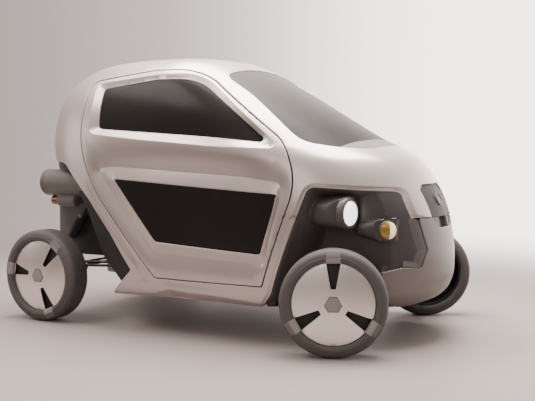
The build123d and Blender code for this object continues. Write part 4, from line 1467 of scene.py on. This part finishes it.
def rear_forms(s):
    def yy(a, b):
        return (min(s * a, s * b), max(s * a, s * b))
    leg = prism(fillet(LEG, step=.03), *yy(.335, .415))
    pod = cylinder(.0825, -1.112, -.745, .5 * s, .845, ease=.022)
    web = box(-1.055, -.80, *yy(.36, .470), .790, .905)
    neck = prism([(-1.085, .985), (-1.080, .930), (-1.045, .905), (-.985, .905), (-.93, .985)], *yy(.345, .440))
    lamp_ = cylinder(.040, -1.014, -.868, .5 * s, .734, ease=.004)
    hang = prism([(-1.006, .86), (-1.006, .735), (-.985, .708), (-.875, .712), (-.83, .86)], *yy(.385, .512))
    return [leg, pod, web, neck, lamp_, hang]


for side, s in (("right", -1), ("left", 1)):
    set_up(fuse("rear_moulding_" + side, rear_forms(s), .0065, 5), M_REAR, "body", ["rear_pods", "rear_lower_body"])
    ring_ = lathe([(.0860, -.0230), (.0868, -.012), (.0846, -.0015), (.0770, .0026), (.0700, .0020), (.0690, -.004), (.0690, -.020)], 64)
    set_up(solid("rear_pod_rim_" + side, framed(ring_[0] * [.97, 1, .97], (-1.1085, .5 * s, .845), (-1, 0, 0)), ring_[1], sharp=40), M_BEZEL, "body",
           ["rear_pods"])
core = fillet([(-572, 374, 8), (-740, 704, 30), (-918, 962, 20), (-1086, 962, 22), (-1086, 450, 40), (-1035, 372, 30)], step=.03)
set_up(solid("rear_core", *prism(core, -.336, .336), sharp=30, bevel=.006), M_WELL, "body", ["rear_lower_body"])
panel_form = fillet([(-.275 * 1000, 905, 20), (-250, 640, 20), (250, 640, 20), (275, 905, 20)], step=.03)
set_up(solid("rear_core_cover", *prism(panel_form, -1.0905, -1.084, axis="x"), sharp=30, bevel=.0025), M_REAR, "body",
       ["rear_lower_body"])
eye = lathe([(.0085, -.010), (.0085, .0015), (.0100, .0030), (.0170, .0030), (.0185, .0015), (.0185, -.010)], 36)
set_up(solid("towing_insert", framed(eye[0], (-1.0865, -.2, .6), (-1, 0, 0)), eye[1], sharp=40), M_STEEL, "body",
       ["rear_lower_body"])

M_RED = lens("red_tail_lens", (.12, .003, .003), (.30, .004, .004), .10)
for side, s in (("right", -1), ("left", 1)):
    lens_ = lathe([(0, .0125), (.012, .0122), (.022, .0105), (.029, .0068), (.0325, .0010), (.0332, -.006), (.0332, -.052), (0, -.052)], 56)
    set_up(solid("tail_lens_" + side, framed(lens_[0], (-1.0580, .5 * s, .734), (-1, 0, 0)), lens_[1], sharp=50), M_RED, "body",
           ["rear_lamps"])

# motor and gearbox low down on the left, with a slim beam across to the right, and two thin arms a side
motor = lathe([(0, .250), (.058, .250), (.070, .243), (.074, .232), (.074, .215), (.0705, .213), (.0705, .118), (.074, .116), (.074, .098), (.066, .090),
               (.066, .030), (.058, .022), (0, .022)], 48)
gear = prism(fillet([(-1080, 205, 20), (-1080, 330, 30), (-1010, 362, 30), (-925, 350, 30), (-905, 270, 30), (-940, 205, 25)], step=.03), .030, .098)
beam = [lathe([(0, .29), (.007, .29), (.0085, .287), (.0085, -.028), (0, -.028)], 20) for _ in range(2)]
unit = [(framed(motor[0], (-.985, 0, .286), (0, 1, 0)), motor[1]), gear]
unit += [(framed(b[0], (-.990, 0, z), (0, -1, 0)), b[1]) for b, z in zip(beam, (.296, .318))]
set_up(solid("drive_unit_body", *join(unit), sharp=35), M_CAST, "body", ["drive_unit"])


def bar(a, b, r):
    """Thin arm with a bush at each end."""
    a, b = np.array(a, float), np.array(b, float)
    l = np.linalg.norm(b - a)
    V, F = lathe([(0, 0), (r * 1.5, 0), (r * 1.7, .002), (r * 1.7, .020), (r * 1.1, .026), (r, .030), (r, l - .030), (r * 1.1, l - .026),
                  (r * 1.7, l - .020), (r * 1.7, l - .002), (r * 1.5, l), (0, l)], 20)
    return framed(V, a, b - a), F


for side, s in (("right", -1), ("left", 1)):
    arms = [bar((-.945, .488 * s, z1), (-.570, .42 * s, z2), .0085) for z1, z2 in ((.344, .356), (.322, .334))]
    set_up(solid("rear_arms_" + side, *join(arms), sharp=40), M_STEEL, "body", ["rear_suspension_arms"])

# small light tab on the leg's front edge
tab = prism(fillet([(-941, 634, 3), (-926, 640, 3), (-914, 622, 3), (-929, 614, 3)], step=.02), -.4175, -.405)
for side, s in (("right", -1), ("left", 1)):
    V = tab[0] * [1, -s, 1]
    set_up(solid("leg_tab_" + side, V, tab[1], sharp=30, bevel=.0012), M_CLIP, "body")

# ---------------------------------------------------------------------------
# cabin
# ---------------------------------------------------------------------------

M_SEAT = Nodes("grey_seat_cloth")
_v = M_SEAT.coords()
_w1 = M_SEAT.node("ShaderNodeTexWave", Vector=_v, Scale=210.0, Distortion=.6, Detail=1.0, _bands_direction="Y").outputs["Fac"]
_w2 = M_SEAT.node("ShaderNodeTexWave", Vector=_v, Scale=210.0, Distortion=.6, Detail=1.0, _bands_direction="Z").outputs["Fac"]
_m = M_SEAT.node("ShaderNodeMath", _operation="MULTIPLY", i0=_w1, i1=_w2).outputs[0]
_c = M_SEAT.ramp(_m, (.070, .064, .060), (.125, .115, .109), .1, .7)
_n = M_SEAT.bump(_m, .35, .0012, M_SEAT.bump(M_SEAT.noise(30.0, 4.0), .15, .004))
M_SEAT.principled(Base__Color=_c, Roughness=M_SEAT.span(M_SEAT.noise(12.0), .82, .92, .3, .7), Normal=_n, Sheen__Weight=.35)
M_SEAT = M_SEAT.mat
M_PIPING = plastic("seat_piping", (.045, .041, .039), rough=.7, grain=.2, scale=500.0)


def pad(name, V, F, seams, cap=.012, voxel=.0075, pressure=4.0):
    """Stuffed cushion: swollen between its seams by a pressure simulation."""
    raw = make(name + "_raw", V, F)
    r = raw.modifiers.new("skin", "REMESH")
    r.mode, r.voxel_size, r.use_smooth_shade = "VOXEL", voxel * 1, True
    s = raw.modifiers.new("ease", "SMOOTH")
    s.factor, s.iterations = .5, 4
    obj = applied(raw, name + "_cloth")
    n = len(obj.data.vertices)
    before = np.empty(n * 3)
    obj.data.vertices.foreach_get("co", before)
    before = before.reshape(-1, 3)
    P = before - [DX, 0, 0]
    hold = seams(P)
    group = obj.vertex_groups.new(name="seams")
    for i in np.nonzero(hold > .05)[0]:
        group.add([int(i)], float(hold[i]), "REPLACE")
    m = obj.modifiers.new("cloth", "CLOTH")
    st = m.settings
    st.use_pressure, st.uniform_pressure_force = True, pressure
    st.vertex_group_mass = "seams"
    st.quality, st.mass = 4, .25
    st.tension_stiffness = st.compression_stiffness = 12
    st.shear_stiffness, st.bending_stiffness = 6, .6
    st.effector_weights.gravity = 0
    m.collision_settings.use_collision = False
    m.point_cache.frame_start, m.point_cache.frame_end = 1, 20
    scene = bpy.context.scene
    for f in range(1, 21):
        scene.frame_set(f)
    moved = obj.evaluated_get(bpy.context.evaluated_depsgraph_get()).to_mesh()
    after = np.empty(n * 3)
    moved.vertices.foreach_get("co", after)
    after = after.reshape(-1, 3)
    obj.evaluated_get(bpy.context.evaluated_depsgraph_get()).to_mesh_clear()
    obj.modifiers.remove(m)
    scene.frame_set(1)
    d = after - before
    l = np.linalg.norm(d, axis=1, keepdims=True)
    after = before + d * np.minimum(1, cap / np.maximum(l, 1e-9))
    after[~np.isfinite(after).all(1)] = before[~np.isfinite(after).all(1)]
    # sewn channels
    nrm = np.empty(n * 3)
    obj.data.vertices.foreach_set("co", after.ravel())
    obj.data.update()
    obj.data.vertices.foreach_get("normal", nrm)
    after = after - nrm.reshape(-1, 3) * (.0055 * np.clip(hold, 0, 1) ** 2)[:, None]
    obj.data.vertices.foreach_set("co", after.ravel())
    obj.data.update()
    obj.vertex_groups.clear()
    sub = obj.modifiers.new("fine", "SUBSURF")
    sub.levels = sub.render_levels = 1
    return applied(obj, name)


def near(d, w):
    return np.exp(-(d / w) ** 2)


def base_seams(P):
    x, y, z = P[:, 0], P[:, 1], P[:, 2]
    top = z > .455
    out = near(np.abs(y) - .135, .006) * top
    out = np.maximum(out, near(x - .075, .006) * top * (np.abs(y) < .135))
    out = np.maximum(out, near(x + .035, .006) * top * (np.abs(y) < .135))
    out = np.maximum(out, (z < .405) * 1.0)
    return np.maximum(out, near(z - .437, .005))


def back_seams(P):
    y, z = P[:, 1], P[:, 2]
    front = P[:, 0] > np.interp(z, [.50, .640, 1.10, 1.45], [-.14, -.205, -.275, -.30])
    out = near(np.abs(y) - .128, .006) * front * (z < 1.16)
    for zz in (.72, .86, 1.00):
        out = np.maximum(out, near(z - zz, .006) * front * (np.abs(y) < .128))
    out = np.maximum(out, near(z - 1.165, .007))
    return np.maximum(out, ~front * 1.0 * (P[:, 0] < np.interp(z, [.50, .640, 1.10, 1.45], [-.20, -.285, -.345, -.37])))


def crowned(outline, half, waist, rows):
    """Loft across the seat: the outline drawn in towards its sides, narrower where waist(z) says."""
    V, F = [], []
    m = len(outline)
    c = outline.mean(0)
    for k, (t, inset) in enumerate(rows):
        q = grow(outline, -inset)
        for x, z in q:
            V.append((x, t * half * waist(z), z))
    for k in range(len(rows) - 1):
        for i in range(m):
            j = (i + 1) % m
            F.append([k * m + i, k * m + j, (k + 1) * m + j, (k + 1) * m + i])
    F += [list(range(m)), list(range(len(V) - 1, len(V) - m - 1, -1))]
    return np.array(V), F


ROWS = [(-1, .022), (-.985, .010), (-.94, .003), (-.86, 0), (0, 0), (.86, 0), (.94, .003), (.985, .010), (1, .022)]
base_line = fillet([(-215, 405, 12), (222, 405, 18), (226, 494, 40), (60, 480, 200), (-60, 462, 60), (-150, 500, 40), (-215, 470, 20)], step=.02)
back_line = fillet([(-150, 488, 30), (-165, 640, 200), (-238, 1080, 120), (-240, 1180, 40), (-236, 1420, 40), (-300, 1446, 30), (-378, 1440, 40), (-385, 1300, 60),
                    (-322, 700, 120), (-238, 470, 30)], step=.02)


def back_waist(z):
    return float(np.interp(z, [.45, .62, .95, 1.10, 1.17, 1.22, 1.45], [.93, .98, 1.0, .86, .60, .52, .50]))


seat_base = pad("seat_base", *crowned(base_line, .205, lambda z: 1.0, ROWS), base_seams)
seat_back = pad("seat_back", *crowned(back_line, .205, back_waist, ROWS), back_seams, cap=.010)
for side, s in (("right", -1), ("left", 1)):
    for kind, src in (("base", seat_base), ("back", seat_back)):
        mesh = src.data.copy()
        co = np.empty(len(mesh.vertices) * 3)
        mesh.vertices.foreach_get("co", co)
        co = co.reshape(-1, 3) + [0, .285 * s, 0]
        mesh.vertices.foreach_set("co", co.ravel())
        mesh.update()
        obj = new_object("seat_" + kind + "_pad_" + side, mesh)
        set_up(obj, M_SEAT, "body", ["seat_" + side])
    shell = prism(fillet([(-232, 395, 10), (228, 395, 10), (236, 425, 10), (-205, 425, 10), (-250, 470, 20), (-338, 705, 60), (-391, 1225, 20), (-383, 1226, 0),
                          (-345, 800, 60), (-235, 440, 20)], step=.03), -.150, .150)
    V = shell[0] + [0, .285 * s, 0]
    set_up(solid("seat_shell_" + side, V, shell[1], sharp=30, bevel=.004), M_CABIN, "body", ["seat_" + side])
bpy.data.objects.remove(seat_base)
bpy.data.objects.remove(seat_back)

# dashboard with a hood over the instruments
dash = [prism(fillet([(562, 802, 18), (552, 905, 26), (612, 962, 26), (833, 972, 16), (858, 885, 12), (776, 874, 0), (752, 804, 8)], step=.03), -.495, .495)]
hood = [prism(fillet([(560, 915, 20), (556, 962, 14), (640, 974, 20), (760, 968, 20), (760, 915, 0)], step=.03), .135, .435)]
tray_ = [prism(fillet([(560, 820, 8), (545, 845, 12), (548, 862, 8), (600, 862, 0), (600, 820, 0)], step=.03), -.42, .05)]
set_up(fuse("dashboard_moulding", dash + hood + tray_, .008, 4), M_CABIN, "body", ["dashboard"])
for k, y in enumerate((-.40, -.20, .02)):
    vent = lathe([(.0, .002), (.010, .002), (.012, .006), (.014, .006), (.018, .000), (.024, .000), (.027, .007), (.032, .0085), (.035, .004), (.0355, -.008), (0, -.008)], 36)
    set_up(solid("air_vent_%d" % (k + 1), framed(vent[0], (.5545, y, .905), (-1, 0, .12)), vent[1], sharp=30), M_BLACK, "body")

# steering wheel
centre, tilt = np.array([.430, .285, .930]), math.radians(24)
axis = np.array([-math.cos(tilt), 0, math.sin(tilt)])
rim = lathe([(.165 + .0130 * math.cos(t), -.002 + .0125 * math.sin(t)) for t in np.linspace(0, 2 * math.pi, 17)[:-1]], 72)
hub = lathe([(0, .006), (.026, .0055), (.038, .001), (.0415, -.006), (.0415, -.018), (.030, -.0215), (0, -.0215)], 48)
spokes = []
for a in (0, 180, 270):
    q = prism(fillet([(25, -20, 4), (90, -12, 20), (160, -15, 4), (160, 15, 4), (90, 12, 20), (25, 20, 4)], step=.03), -.001, .009)
    V = q[0]
    c, s_ = math.cos(math.radians(a)), math.sin(math.radians(a))
    V = np.stack([V[:, 0] * c - V[:, 2] * s_, V[:, 1] + .003, V[:, 0] * s_ + V[:, 2] * c], -1)
    spokes.append((V, q[1]))
parts_ = [(framed(v, centre, axis), f) for v, f in [rim, hub] + spokes]
set_up(fuse("steering_wheel_rim", parts_, .0034, 2), M_BLACK, "steering_wheel", ["steering_wheel"])

# battery cover
cover = prism(fillet([(-186, 256, 10), (-186, 389, 18), (296, 389, 18), (296, 256, 10)], step=.05), -.474, .474)
set_up(solid("battery_cover", *cover, sharp=30, bevel=.012, segments=3), M_CABIN, "body", ["battery_pack"])

# ---------------------------------------------------------------------------
# finishes of the CAD pieces that stay
# ---------------------------------------------------------------------------

M_UNDER = plastic("dark_under_tray", (.030, .0275, .026), rough=.6)
M_WALL = plastic("dark_back_wall", (.018, .016, .0152), rough=.5, grain=.05, scale=900.0)
FINISH = {"floor_pan": M_UNDER, "firewall": M_LINER, "front_inner_body": M_LINER, "rear_bulkhead": M_WALL, "steering_column": M_BLACK,
          "drive_unit": M_CAST, "drive_shafts": M_STEEL, "rear_hub_carriers": M_STEEL, "rear_suspension_arms": M_STEEL,
          "front_suspension_arms": M_STEEL, "knuckle_front_right": M_CAST, "knuckle_front_left": M_CAST}
for name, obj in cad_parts.items():
    if not obj.hide_render:
        obj.data.materials.clear()
        obj.data.materials.append(FINISH.get(name, M_DARK))

# ---------------------------------------------------------------------------
# floor, light and camera
# ---------------------------------------------------------------------------


def look(obj, target):
    obj.rotation_mode = "QUATERNION"
    obj.rotation_quaternion = (Vector(target) - obj.location).to_track_quat("-Z", "Y")


def area_light(name, where, target, size, power, colour=(1, 1, 1)):
    data = bpy.data.lights.new(name, "AREA")
    data.shape = "RECTANGLE"
    data.size, data.size_y = size
    data.energy = power
    data.color = colour
    obj = bpy.data.objects.new(name, data)
    bpy.context.scene.collection.objects.link(obj)
    obj.location = (where[0] + DX, where[1], where[2])
    look(obj, (target[0] + DX, target[1], target[2]))
    return obj


floor = make("studio_floor", [(-14, -14, 0), (14, -14, 0), (14, 14, 0), (-14, 14, 0)], [(0, 1, 2, 3)])
mf = Nodes("pale_studio_floor")
floor_p = mf.node("ShaderNodeBsdfPrincipled", Base__Color=mf.ramp(mf.noise(.35, 2.0), (.285, .247, .231), (.309, .269, .252), .3, .7),
                  Roughness=.55, Specular__IOR__Level=.3)
flat_at = mf.node("ShaderNodeVectorMath", _operation="MULTIPLY", i0=mf.coords())
flat_at.inputs[1].default_value = (1, 1, 0)
far = mf.node("ShaderNodeVectorMath", _operation="LENGTH", i0=flat_at.outputs[0]).outputs["Value"]
fade = mf.node("ShaderNodeMapRange", _interpolation_type="SMOOTHSTEP", i0=far, i1=2.3, i2=6.0, i3=0.0, i4=1.0).outputs[0]
floor_mix = mf.node("ShaderNodeMixShader", i0=fade, i1=floor_p.outputs[0], i2=mf.node("ShaderNodeBsdfTransparent").outputs[0])
mf.link(floor_mix.outputs[0], mf.out.inputs["Surface"])
floor.data.materials.append(mf.mat)

# studio surround: a pale backdrop, brighter to the front of the car and overhead, dimmer on the near side
world = bpy.data.worlds.new("studio")
bpy.context.scene.world = world
world.use_nodes = True
wt = world.node_tree
wt.nodes.clear()
W = Nodes.__new__(Nodes)
W.tree = wt
wo = wt.nodes.new("ShaderNodeOutputWorld")
way = W.node("ShaderNodeTexCoord").outputs["Generated"]


def along(v):
    n = W.node("ShaderNodeVectorMath", _operation="DOT_PRODUCT", i0=way)
    n.inputs[1].default_value = v
    return n.outputs["Value"]


def step_to(fac, lo, hi, a, b):
    n = W.node("ShaderNodeMapRange", _interpolation_type="SMOOTHSTEP", i0=fac, i1=lo, i2=hi)
    for i, v in ((3, a), (4, b)):
        if isinstance(v, bpy.types.NodeSocket):
            wt.links.new(v, n.inputs[i])
        else:
            n.inputs[i].default_value = v
    return n.outputs[0]


across = along((.867, .499, 0))
backdrop = W.node("ShaderNodeValToRGB", Fac=W.node("ShaderNodeMapRange", i0=across, i1=-.5, i2=.5).outputs[0])
cr = backdrop.color_ramp
cr.interpolation = "B_SPLINE"
cr.elements[0].position, cr.elements[0].color = .0, (.10, .10, .10, 1)
cr.elements[1].position, cr.elements[1].color = 1.0, (1.0, 1.0, 1.0, 1)
for at_, v in ((.22, .12), (.40, .19), (.52, .36), (.66, .95)):
    e = cr.elements.new(at_)
    e.color = (v, v, v, 1)
value = W.node("ShaderNodeMath", _operation="MULTIPLY", i0=backdrop.outputs["Color"], i1=5.0).outputs[0]
near_side = step_to(along((0, 0, 1)), -.02, .26, .10, .55)
value = step_to(along((-.499, .867, 0)), -.45, .45, near_side, value)
value = step_to(along((0, 0, 1)), .15, .80, value, 1.0)
wb = wt.nodes.new("ShaderNodeBackground")
warm = W.node("ShaderNodeMix", _data_type="RGBA", i0=W.node("ShaderNodeMapRange", i0=across, i1=-.40, i2=.15).outputs[0],
              i6=(1, .815, .765, 1), i7=(1, .895, .852, 1)).outputs[2]
wt.links.new(warm, wb.inputs["Color"])
wt.links.new(value, wb.inputs["Strength"])
wt.links.new(wb.outputs[0], wo.inputs[0])

area_light("top_softbox", (.2, .30, 3.6), (.2, .2, .6), (3.6, 2.2), 560, (1, .94, .91))
area_light("rail_softbox", (-1.75, -1.75, 3.5), (-.1, -.5, 1.0), (2.0, 1.1), 75, (1, .94, .91))
area_light("side_softbox", (1.45, -5.3, 2.3), (.4, 0, .6), (2.2, 2.0), 32, (1, .93, .90))
area_light("rear_softbox", (-4.6, -2.6, 1.7), (-.6, 0, .7), (2.4, 2.0), 24, (1, .95, .92))

cam_data = bpy.data.cameras.new("camera")
cam_data.sensor_width = 36
cam_data.lens = 61.16
cam_data.clip_end = 100
cam = bpy.data.objects.new("camera", cam_data)
bpy.context.scene.collection.objects.link(cam)
cam.location = (2.9947 + DX, -4.8305, 1.1108)
az, el = math.radians(29.913), math.radians(3.796)
cam.rotation_mode = "QUATERNION"
cam.rotation_quaternion = Vector((-math.sin(az) * math.cos(el), math.cos(az) * math.cos(el), -math.sin(el))).to_track_quat("-Z", "Y")
bpy.context.scene.camera = cam
